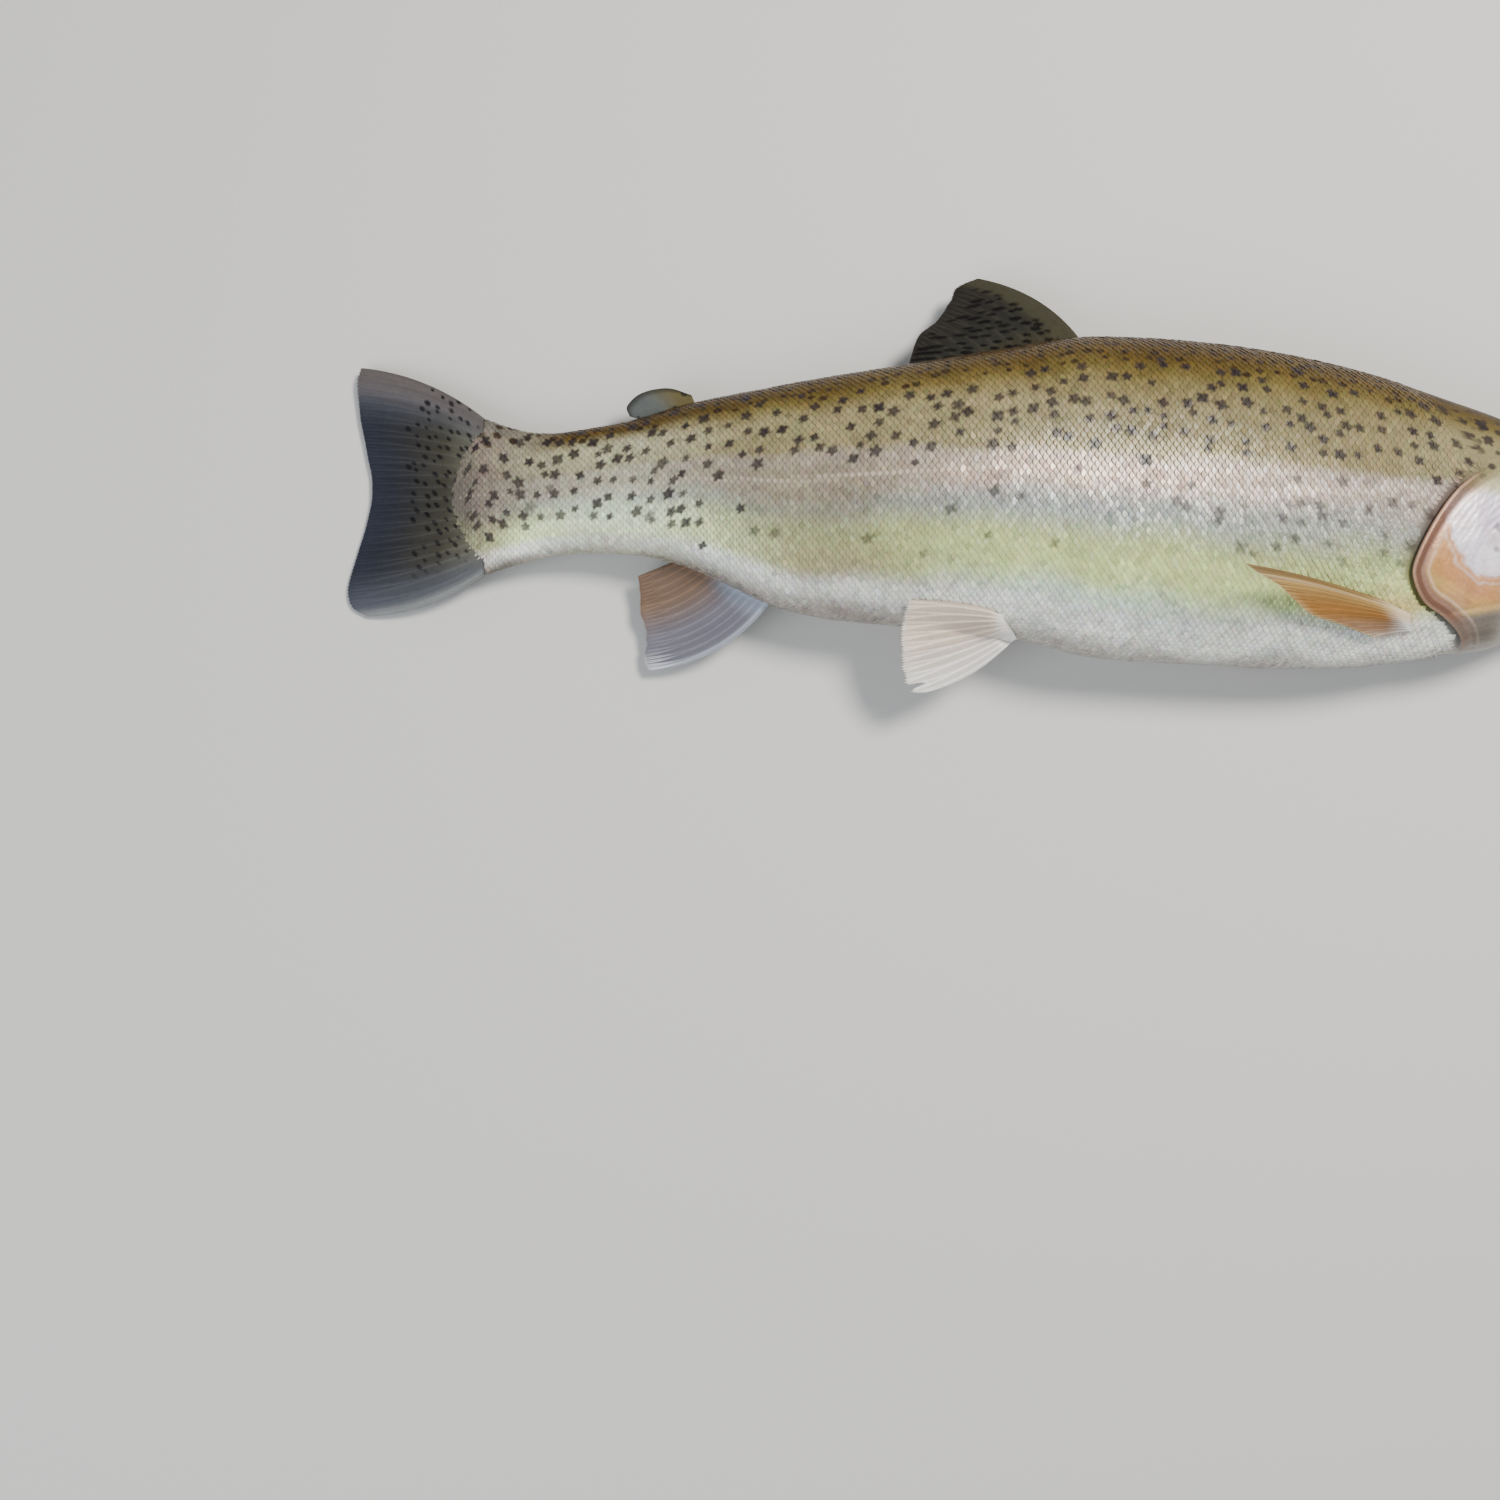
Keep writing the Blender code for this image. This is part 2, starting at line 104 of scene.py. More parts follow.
def spline(places, values):
    """The smooth cubic curve through the given values, as a function of an array of places."""
    x, y = np.array(places, float), np.array(values, float)
    step = np.diff(x)
    slope = np.diff(y) / step
    matrix, target = np.eye(len(x)), np.zeros(len(x))
    for i in range(1, len(x) - 1):
        matrix[i, i - 1 : i + 2] = step[i - 1], 2 * (step[i - 1] + step[i]), step[i]
        target[i] = 6 * (slope[i] - slope[i - 1])
    bend = np.linalg.solve(matrix, target)

    def at(place):
        i = np.clip(np.searchsorted(x, place) - 1, 0, len(x) - 2)
        a = (x[i + 1] - place) / step[i]
        b = 1 - a
        cubic = (a**3 - a) * bend[i] + (b**3 - b) * bend[i + 1]
        return a * y[i] + b * y[i + 1] + cubic * step[i] ** 2 / 6

    return at


BACK, BELLY, HALF_WIDTH, MIDDLE = (
    spline([row[0] for row in PROFILE], [row[k] for row in PROFILE]) for k in range(1, 5)
)


def ease(value):
    t = np.clip(value, 0.0, 1.0)
    return t * t * (3 - 2 * t)


def ramp(value, start, run):
    """0 before the start, 1 after the run and smooth between. A run below 0 goes the other way."""
    return ease((value - start) / run)


def hump(distance, width):
    """1 at no distance, falling smoothly to nothing about two widths away."""
    return np.exp(-((distance / width) ** 2))


def mixed(a, b, share):
    """From a to b by share, for numbers or for colours."""
    a, b, share = np.asarray(a, float), np.asarray(b, float), np.asarray(share, float)
    if a.shape[-1:] == (3,) or b.shape[-1:] == (3,):
        share = share[..., None]
    return a + (b - a) * share


def painted(colour, *coats):
    """A colour under coats of paint, each a tone and its share."""
    for paint, share in coats:
        colour = mixed(colour, paint, share)
    return colour


def signed_power(value, power):
    return np.sign(value) * np.abs(value) ** power


def above_floor(z):
    soft = (z + FLOOR_BLEND) ** 2 / (4 * FLOOR_BLEND)
    return np.where(z <= -FLOOR_BLEND, 0.0, np.where(z < FLOOR_BLEND, soft, z))


def sizes(behind, proud=0.0):
    """Back, belly, half width and middle height of the sections at these places."""
    s = np.clip(behind, 0.0, BODY_END)
    past = np.clip((np.asarray(behind, float) - BODY_END) / TAIL_WEDGE, 0.0, 1.0)
    nose = np.sqrt(1 - np.clip(1 - s / NOSE_ROUNDING, 0.0, 1.0) ** 2)
    back = SNOUT_Y + (BACK(s) - SNOUT_Y) * nose
    belly = SNOUT_Y + (BELLY(s) - SNOUT_Y) * nose
    half = HALF_WIDTH(s) * nose + proud * ramp(s, 45, 30)
    half = mixed(half, WEDGE_EDGE, past)
    centre = (back + belly) / 2
    arch = np.sqrt(1 - past**2)
    back, belly = centre + (back - centre) * arch, centre + (belly - centre) * arch
    return back, belly, half, MIDDLE(s) - WEDGE_SLOPE * TAIL_WEDGE * past


def roundness(behind):
    t = ramp(behind, 40, 70)
    return [a + (b - a) * t for a, b in zip(HEAD_ROUNDNESS, TRUNK_ROUNDNESS)]


def body(behind, turn, proud=0.0):
    """Points of the body's own surface, before the floor flattens it."""
    back, belly, half, middle = sizes(behind, proud)
    widest = belly + WIDEST * (back - belly)
    upper, lower = roundness(behind)
    across, out = np.cos(turn), np.sin(turn)
    reach = np.where(across > 0, back - widest, widest - belly)
    power = 2 / np.where(across > 0, upper, lower)
    y = widest + reach * signed_power(across, power)
    z = middle + half * signed_power(out, power)
    return np.stack(np.broadcast_arrays(SNOUT_X - behind, y, z), axis=-1)


def unit(v):
    return v / np.maximum(np.linalg.norm(v, axis=-1, keepdims=True), 1e-9)


def outward(behind, turn, proud=0.0):
    """Unit normals of the body's surface."""
    ds, dt = 0.25, 0.01
    along = body(behind + ds, turn, proud) - body(np.maximum(behind - ds, 0), turn, proud)
    round_ = body(behind, turn + dt, proud) - body(behind, turn - dt, proud)
    return unit(np.cross(along, round_))


def on_body(behind, turn, lift, side=1.0, proud=0.0):
    """Points lift above the surface, mirrored to the left where side is -1, kept off the floor."""
    p = body(behind, turn, proud) + outward(behind, turn, proud) * np.asarray(lift)[..., None]
    middle = sizes(behind)[3]
    p[..., 2] = np.where(np.asarray(side) > 0, p[..., 2], 2 * middle - p[..., 2])
    low = np.minimum(lift, 0)
    p[..., 2] = above_floor(p[..., 2] + low) - low
    return p


def level_of(turn):
    """Share of the way from the belly to the back."""
    across = np.cos(turn)
    upper = WIDEST + (1 - WIDEST) * np.abs(across) ** 0.95
    lower = WIDEST - WIDEST * np.abs(across) ** 0.93
    return np.where(across > 0, upper, lower)


def flank_height(x, y):
    """Height of the right flank over a place inside the outline."""
    behind = SNOUT_X - x
    back, belly, half, middle = sizes(behind)
    widest = belly + WIDEST * (back - belly)
    upper, lower = roundness(behind)
    reach = np.where(y > widest, back - widest, widest - belly)
    power = np.where(y > widest, upper, lower)
    inside = 1 - np.minimum(1.0, np.abs(y - widest) / np.maximum(reach, 1e-6)) ** power
    return middle + half * inside ** (1 / power)


# The chart: arc against turn for every millimetre along the body.
CHART_BEHIND = np.arange(0.0, BODY_END + TAIL_WEDGE + 1, 1.0)
CHART_TURN = np.radians(np.arange(-50.0, 231.0, 1.0))
CHART_ARC = np.arange(-110.0, 110.5, 0.5)


def make_chart():
    points = body(CHART_BEHIND[:, None], CHART_TURN[None, :])
    length = np.linalg.norm(np.diff(points, axis=1), axis=-1)
    arc = np.concatenate([np.zeros((len(points), 1)), np.cumsum(length, axis=1)], axis=1)
    start = int(np.argmin(np.abs(CHART_TURN - math.pi / 2)))
    arc = arc[:, start : start + 1] - arc
    turns = np.stack([np.interp(CHART_ARC, a[::-1], CHART_TURN[::-1]) for a in arc])
    return arc, turns


ARC_TABLE, TURN_TABLE = make_chart()


def looked_up(table, first, step, count, behind, value):
    """A table's value between its entries, for a place along the body and a second number."""
    i = np.clip(behind, 0, len(CHART_BEHIND) - 1.001)
    j = np.clip((value - first) / step, 0, count - 1.001)
    i0, j0 = i.astype(int), j.astype(int)
    a, b = i - i0, j - j0
    low = table[i0, j0] * (1 - b) + table[i0, j0 + 1] * b
    high = table[i0 + 1, j0] * (1 - b) + table[i0 + 1, j0 + 1] * b
    return low * (1 - a) + high * a


def arc_at(behind, turn):
    behind, turn = np.broadcast_arrays(behind, turn)
    step = CHART_TURN[1] - CHART_TURN[0]
    return looked_up(ARC_TABLE, CHART_TURN[0], step, len(CHART_TURN), behind, turn)


def turn_at(behind, arc):
    behind, arc = np.broadcast_arrays(behind, arc)
    return looked_up(TURN_TABLE, CHART_ARC[0], 0.5, len(CHART_ARC), behind, arc)


def turn_of_place(x, y):
    """The turn on the right flank over a place seen from the side."""
    back, belly, _, _ = sizes(SNOUT_X - x)
    widest = belly + WIDEST * (back - belly)
    upper, lower = roundness(SNOUT_X - x)
    high = np.clip((y - widest) / np.where(y > widest, back - widest, widest - belly), -1, 1)
    return np.arccos(signed_power(high, np.where(y > widest, upper, lower) / 2))


def smooth_path(path, steps):
    """Points along a Catmull-Rom curve through an open path."""
    p = [np.array(q, float) for q in path]
    p = [2 * p[0] - p[1], *p, 2 * p[-1] - p[-2]]
    t = (np.arange(steps) / steps)[:, None]
    made = []
    for a, b, c, d in zip(p, p[1:], p[2:], p[3:]):
        line = 2 * b + (c - a) * t + (2 * a - 5 * b + 4 * c - d) * t**2
        made.append((line + (3 * b - a - 3 * c + d) * t**3) / 2)
    return np.concatenate([*made, p[-2][None]])


def path_distance(x, y, path):
    """Distance from each place to a path, which side of it the place is on, and how far along."""
    path = np.asarray(path, float)
    best = np.full(np.shape(x), 1e9)
    side = np.zeros(np.shape(x))
    along = np.zeros(np.shape(x))
    run = 0.0
    for (x0, y0), (x1, y1) in zip(path, path[1:]):
        dx, dy = x1 - x0, y1 - y0
        size = math.hypot(dx, dy)
        t = np.clip(((x - x0) * dx + (y - y0) * dy) / size**2, 0, 1)
        gap = np.hypot(x - x0 - dx * t, y - y0 - dy * t)
        nearer = gap < best
        best = np.where(nearer, gap, best)
        side = np.where(nearer, np.sign(dx * (y - y0) - dy * (x - x0)), side)
        along = np.where(nearer, run + t * size, along)
        run += size
    return best, side, along / run


def offset_from(path, x, y):
    """Distance of each place from a path, below 0 on its right-hand side."""
    gap, side, _ = path_distance(x, y, path)
    return np.where(side < 0, -gap, gap)


# ---------------- head


TOP_CORNER = math.radians(66.0)
MOUTH_TURN = math.radians(142.0)


def gill_edge_table():
    """The gill cover's free edge as distance behind the snout for each turn."""
    path = smooth_path([*NAPE, *GILL_EDGE], 8)
    turns = turn_of_place(path[:, 0], path[:, 1])
    turns = np.maximum.accumulate(turns + np.arange(len(turns)) * 1e-6)
    turns = np.concatenate([[0.0], turns, [math.pi]])
    places = np.concatenate([[75.0], SNOUT_X - path[:, 0], [67.0]])
    grid = np.linspace(0, math.pi, 721)
    edge = np.interp(grid, turns, places)
    padded = np.pad(edge, 24, mode="reflect")
    kernel = np.hanning(17)
    edge = np.convolve(padded, kernel / kernel.sum(), mode="same")[24:-24]
    return grid, edge, np.gradient(edge, grid)


EDGE_TURN, EDGE_BEHIND, EDGE_SLOPE = gill_edge_table()
MOUTH = smooth_path(((229.8, -23.0), (226, -25.2), (218, -28.8), (208, -34.9), (196, -41.8),
                     (187, -46.2)), 6)
MOUTH_END = SNOUT_X - 184.0
MOUTH_AT = np.sort(SNOUT_X - MOUTH[:, 0])
MOUTH_TURNS = turn_of_place(MOUTH[:, 0], MOUTH[:, 1])[np.argsort(SNOUT_X - MOUTH[:, 0])]


def mouth_turn(behind):
    """The turn of the mouth's line, and of the row of points that carries on behind it."""
    last = MOUTH_AT[-1]
    found = np.interp(behind, MOUTH_AT, MOUTH_TURNS)
    return mixed(found, MOUTH_TURN, ramp(behind, last, 14))


MAXILLA_TOP = smooth_path(((226, -23.6), (218, -24.2), (208, -26.3), (198, -30.6), (190, -35.4),
                           (184.8, -39.8), (182.6, -43.4), (183.4, -46.0), (186.6, -46.6)), 6)
SUPRAMAXILLA = smooth_path(((204, -28.4), (196, -33.0), (189, -38.0), (185.0, -42)), 5)
PREOPERCLE = smooth_path(((171.5, 2), (168.3, -9), (168.6, -23), (172.0, -35), (178.5, -43),
                          (188, -48)), 6)
PREOPERCLE_RIDGE = smooth_path(((176.5, -2), (174.3, -12), (175.2, -24), (179, -34),
                                (186, -41.5)), 6)
SUTURE = smooth_path(((144.4, -13), (146.2, -19.5), (149.6, -27.5), (155.6, -34.2),
                      (163, -36.0), (170.4, -34.2)), 6)
INTEROPERCLE = smooth_path(((187, -47.2), (178, -44.6), (168, -44.2), (157, -46.0),
                            (150, -47.2)), 6)
DENTARY = smooth_path(((228, -27.5), (218, -33.6), (206, -41.5), (194, -48.5), (186, -52)), 6)
NOSTRILS = ((214.3, -5.1), (211.6, -3.4))
NARIAL_FLAP = (213.0, -4.2)
ORBIT = 6.5
ORBIT_DEPTH = 3.2


def head_relief(x, y, turn, behind):
    """How far the head's surface stands above or below its plain form."""
    flank = ramp(turn, 0.15, 0.5)
    from_eye = np.hypot(x - (SNOUT_X - EYE_BACK), y - EYE_Y)
    lift = -ORBIT_DEPTH * ramp(from_eye, ORBIT + 0.15, -0.95)
    lift += 0.26 * hump(from_eye - ORBIT - 0.85, 0.65)
    lift -= 0.10 * hump(from_eye - ORBIT - 2.5, 0.9)
    below_eye = ramp(y, EYE_Y - 1, -6) * ramp(behind, 20, 6)
    lift -= 0.12 * hump(from_eye - 12.2, 0.8) * below_eye
    bearing = np.arctan2(y - EYE_Y, x - (SNOUT_X - EYE_BACK))
    spokes = hump(np.sin(bearing * 3.5 + 0.6), 0.12) * ramp(from_eye, 8.4, 1.4)
    lift -= 0.13 * spokes * ramp(from_eye, 12.2, -1.2) * below_eye
    for place in NOSTRILS:
        hole = np.hypot(x - place[0], y - place[1])
        lift += 0.13 * hump(hole - 1.25, 0.5) * flank
        lift -= 0.95 * ramp(hole, 1.05, -0.8) * flank
    lift += 0.32 * hump(np.hypot(x - NARIAL_FLAP[0], y - NARIAL_FLAP[1]), 0.55) * flank
    on_plate = inside_maxilla(x, y)
    lift += on_plate * (0.50 + 0.05 * crinkle(x, y, 73, 2.0))

    def from_path(path, start, end):
        """Signed distance from a path, and a share that fades over these parts of its ends."""
        gap, side, along = path_distance(x, y, path)
        faded = ease(along / start) * (ramp(along, 1, -end) if end else 1.0)
        return np.where(side < 0, -gap, gap), faded

    off, fade = from_path(MAXILLA_TOP, 0.1, 0)
    lift -= 0.22 * hump(np.abs(off) - 0.7, 0.7) * (1 - on_plate) * fade
    off, fade = from_path(SUPRAMAXILLA, 0.15, 0.1)
    lift -= 0.18 * hump(off, 0.6) * fade
    off, fade = from_path(PREOPERCLE, 0.14, 0.14)
    lift += fade * (0.24 * hump(off + 1.9, 1.8) - 0.32 * hump(off - 0.2, 1.0))
    off, fade = from_path(PREOPERCLE_RIDGE, 0.2, 0.2)
    lift += 0.2 * hump(off, 1.1) * fade
    off, fade = from_path(SUTURE, 0.1, 0)
    lift -= 0.26 * hump(off, 0.7) * fade
    off, fade = from_path(INTEROPERCLE, 0.08, 0)
    lift -= 0.28 * hump(off, 0.7) * fade
    rays = 0.5 + 0.5 * np.cos(2 * math.pi * off / 2.6)
    membrane = ramp(off, 0.8, 0.8) * ramp(behind, 44, 4) * ramp(behind, 80, -6)
    lift -= 0.17 * rays**2 * membrane * ramp(y, -44, -2)
    off, fade = from_path(DENTARY, 0.1, 0.1)
    pores = hump(np.sin(path_distance(x, y, DENTARY)[2] * math.pi * 5.5), 0.12)
    lift -= 0.28 * hump(off, 0.42) * pores
    lift += (0.22 * hump(np.abs(off) - 2.2, 1.6) - 0.32 * hump(off - 5.2, 0.9)) * fade
    on_jaw = ramp(turn, mouth_turn(behind), 0.1) * ramp(behind, 48, -5)
    lift += 0.05 * crinkle(x * 0.6, y, 75, 1.5) * on_jaw
    return lift + 0.035 * crinkle(x, y, 71, 2.6) * flank * ramp(from_eye - ORBIT, 1, 2)


def cover_relief(x, y, from_edge):
    """The gill cover's own relief: growth ridges, the soft rim, and creases in its upper plate."""
    above = ease((y + 45) / 4)
    ridges = 0.05 * np.sin(from_edge * 2 * math.pi / 2.1) * ramp(from_edge, 4, 2)
    ridges = ridges * ramp(from_edge, 26, -8) * above
    pearl = ease(offset_from(SUTURE, x, y) / 2 + 0.5) * ramp(y, 1, -5) * ramp(from_edge, 5, 2)
    return ridges - 0.26 * hump(from_edge - 3.4, 0.8) + 0.13 * crinkle(x, y, 81, 1.5) * pearl


def crinkle(x, y, seed, size):
    """Fine branching creases, about 1 along a crease and 0 between them."""
    coarse = 1 - np.abs(waves(x, y, seed, size)) * 2.2
    fine = 1 - np.abs(waves(x, y, seed + 1, size * 0.45)) * 2.2
    return np.clip(coarse, 0, 1) ** 2 + 0.6 * np.clip(fine, 0, 1) ** 2


def inside_maxilla(x, y):
    """1 on the upper jaw's plate, 0 off it."""
    below_top = offset_from(MAXILLA_TOP, x, y)
    above_mouth = -offset_from(MOUTH, x, y)
    return np.where((below_top > 0) & (above_mouth > 0), ease(below_top / 0.9), 0.0)


# ---------------- colours


def tone(*rgb):
    """A colour given as it looks on a screen, 0 to 255, as light."""
    c = np.array(rgb, float) / 255
    return np.where(c <= 0.04045, c / 12.92, ((c + 0.055) / 1.055) ** 2.4)


OLIVE_DARK = tone(66, 46, 10)
OLIVE = tone(80, 62, 16)
KHAKI = tone(104, 90, 46)
SILVER_OLIVE = tone(138, 128, 92)
LILAC = tone(168, 155, 144)
GREY_SILVER = tone(170, 174, 162)
YELLOW_SILVER = tone(193, 205, 138)
PALE_GREEN = tone(207, 221, 147)
BELLY_WHITE = tone(230, 232, 224)
BELLY_MIDLINE_SHADE = tone(170, 165, 158)
TAIL_GREY = tone(148, 144, 124)
STALK_SILVER = tone(186, 186, 160)
SADDLE_TAN = tone(150, 134, 116)
MAUVE_BROWN = tone(128, 108, 100)
BLUE_GREY = tone(126, 136, 140)
ROSE_TAN = tone(184, 152, 134)
VENT_BROWN = tone(150, 126, 98)
WAIST_GREY = tone(132, 128, 100)
STALK_GREEN = tone(214, 228, 206)
BELLY_FIN_SHADOW = tone(164, 164, 156)
BELLY_CYAN = tone(204, 226, 222)
BREAST_GREY = tone(142, 145, 134)
LOBE_GREY = tone(96, 94, 86)
LINE_CREAM = tone(222, 208, 190)
GLINT = tone(250, 246, 244)
SPOT = tone(38, 30, 34)
SPOT_BROWN = tone(42, 26, 12)
PEARL = tone(252, 246, 250)
BRONZE = tone(196, 146, 84)
CREAM = tone(222, 196, 138)
THROAT_GREY = tone(128, 120, 110)
THROAT_DARK = tone(86, 79, 68)
ORANGE_SKIN = tone(206, 156, 110)
PEARL_LILAC = tone(212, 198, 224)
PEARL_ROSE = tone(232, 200, 202)
PEARL_WHITE = tone(246, 242, 246)
PEARL_SHADE = tone(186, 174, 192)
BRONZE_ROSE = tone(214, 166, 138)
BRONZE_GOLD = tone(220, 178, 106)
BRONZE_OLIVE = tone(176, 148, 92)
BRONZE_DARK = tone(152, 108, 58)
SUTURE_COPPER = tone(206, 138, 104)
RIM_BROWN = tone(84, 50, 34)
RIM_MAUVE = tone(164, 126, 114)
COVER_GREEN = tone(178, 176, 104)
CHEEK_PINK = tone(206, 188, 174)
CHIN_GREY = tone(112, 100, 78)
RIDGE_BROWN = tone(112, 88, 66)
LID_OLIVE = tone(60, 50, 32)
SOCKET_SHADOW = tone(24, 19, 14)
NOSTRIL_SHADOW = tone(20, 15, 10)
SLIT_SHADOW = tone(52, 34, 28)

IRIS_BRASS = tone(126, 102, 54)
IRIS_OLIVE = tone(64, 54, 34)
IRIS_DARK = tone(46, 36, 24)
IRIS_SILVER = tone(158, 146, 112)
IRIS_RING = tone(222, 190, 110)
IRIS_EDGE = tone(22, 18, 14)
PUPIL_BLACK = tone(5, 5, 7)
NOSE_OLIVE = tone(70, 60, 36)
MAXILLA_TAN = tone(172, 152, 124)
MAXILLA_DARK = tone(96, 82, 56)
JAW_SILVER = tone(206, 202, 190)
LIP_GREY = tone(120, 114, 98)
GULAR_ROSE = tone(206, 186, 176)
RIM_OLIVE = tone(92, 80, 42)
RIM_TAN = tone(178, 140, 116)
RIM_PALE = tone(240, 206, 186)

FACE_BANDS = (
    (0.0, tone(150, 144, 134)),
    (0.10, tone(182, 178, 170)),
    (0.20, tone(196, 190, 176)),
    (0.34, tone(208, 188, 170)),
    (0.46, tone(204, 162, 146)),
    (0.56, tone(186, 146, 124)),
    (0.64, tone(142, 122, 84)),
    (0.74, tone(92, 78, 42)),
    (0.86, tone(66, 54, 26)),
    (1.0, tone(52, 42, 20)),
)

COAT_BANDS = (
    # Greyer at the belly's midline: painted shade.
    (0.00, BELLY_MIDLINE_SHADE),
    (0.05, BELLY_WHITE),
    (0.12, BELLY_WHITE),
    (0.18, PALE_GREEN),
    (0.26, PALE_GREEN),
    (0.33, YELLOW_SILVER),
    (0.42, GREY_SILVER),
    (0.50, LILAC),
    (0.61, LILAC),
    (0.67, SILVER_OLIVE),
    (0.80, SILVER_OLIVE),
    (0.87, KHAKI),
    (0.92, OLIVE),
    (1.00, OLIVE_DARK),
)


def banded(bands, level):
    at = [b[0] for b in bands]
    return np.stack([np.interp(level, at, [b[1][k] for b in bands]) for k in range(3)], axis=-1)


def waves(a, b, seed, size):
    """Slow smooth variation over two coordinates, from -1 to 1."""
    turns = np.random.default_rng(seed).uniform(0, 2 * math.pi, (6, 2))
    total = 0.0
    for k, (bearing, phase) in enumerate(turns):
        scale = size * (1 + 0.37 * k) / 1.9
        total = total + np.sin((a * math.cos(bearing) + b * math.sin(bearing)) / scale + phase)
    return total / 3.2


def spots(a, b, cell, reach, chance, seed, star=0.0, soft=0.35, page=0):
    """Darkness of spots scattered one to a cell over two coordinates in millimetres.

    reach is each spot's half length and half width, and chance how likely a cell has one, given
    the spot's own place. page picks another scatter, as for the other side of the body.
    """
    table = np.random.default_rng(seed).uniform(0, 1, (7, 97, 97))
    ia, ib = np.floor(a / cell[0]).astype(int), np.floor(b / cell[1]).astype(int)
    dark = np.zeros(np.shape(a))
    for da in (-1, 0, 1):
        for db in (-1, 0, 1):
            row, column = (ia + da + 41 * page) % 97, (ib + db + 29 * page) % 97
            r = table[:, row, column]
            ca = (ia + da + 0.5 + (r[0] - 0.5) * 0.64) * cell[0]
            cb = (ib + db + 0.5 + (r[1] - 0.5) * 0.64) * cell[1]
            size = 0.68 + 0.5 * r[2]
            x, y = (a - ca) / (reach[0] * size), (b - cb) / (reach[1] * size)
            bearing = np.arctan2(y, x) + (r[3] - 0.5) * 1.2
            arms = np.where(r[6] < 0.5, 2.0, 2.5)
            edge = 1 - star + star * 1.5 * np.abs(np.cos(arms * (bearing - math.pi / 4))) ** 1.6
            fill = ease((edge - np.hypot(x, y)) / soft + 0.5)
            there = r[4] < chance(ca, cb)
            dark = np.maximum(dark, np.where(there, fill * (0.84 + 0.16 * r[5]), 0.0))
    return dark


HALF_GIRTH = np.array([np.interp(0.0, CHART_TURN, arc) for arc in ARC_TABLE])


def body_spots(behind, arc, page):
    """Darkness of the markings: small dots along the back, stars on the flank, faint ones below.

    down is the distance from the back ridge, and share is that distance as a part of the way to
    the lateral line, which is 1, and on to the belly, which is about 2.
    """
    down = np.interp(behind, CHART_BEHIND, HALF_GIRTH) - arc

    def share(ca, cb):
        return cb / np.interp(ca, CHART_BEHIND, HALF_GIRTH)

    def dots(ca, cb):
        return 0.88 * ramp(share(ca, cb), 0.44, -0.14) * ramp(ca, 30, 20)

    def stars(ca, cb):
        at = share(ca, cb)
        tail = ramp(ca, 300, 50)
        flank = 0.70 * ramp(at, 0.30, 0.1) * ramp(at, 0.95, -0.18)
        stalk = 0.92 * ramp(at, 1.75, -0.25) * ramp(at, 0.12, 0.1)
        return mixed(flank, stalk, tail)

    def faint(ca, cb):
        at = share(ca, cb)
        front = 0.72 * ramp(ca, 200, -60) * ramp(at, 1.5, -0.2)
        return np.maximum(front, 0.10) * ramp(at, 0.9, 0.1) * ramp(at, 1.55, -0.1)

    small = spots(behind, down, (5.2, 4.1), (1.42, 1.16), dots, 51, star=0.10, page=page)
    large = spots(behind, down, (6.4, 5.9), (1.86, 1.74), stars, 52, star=0.28, page=page)
    pale = spots(behind, down, (7.2, 6.4), (1.9, 1.8), faint, 53, star=0.34, soft=0.7, page=page)
    return small, np.maximum(large, pale * 0.7)


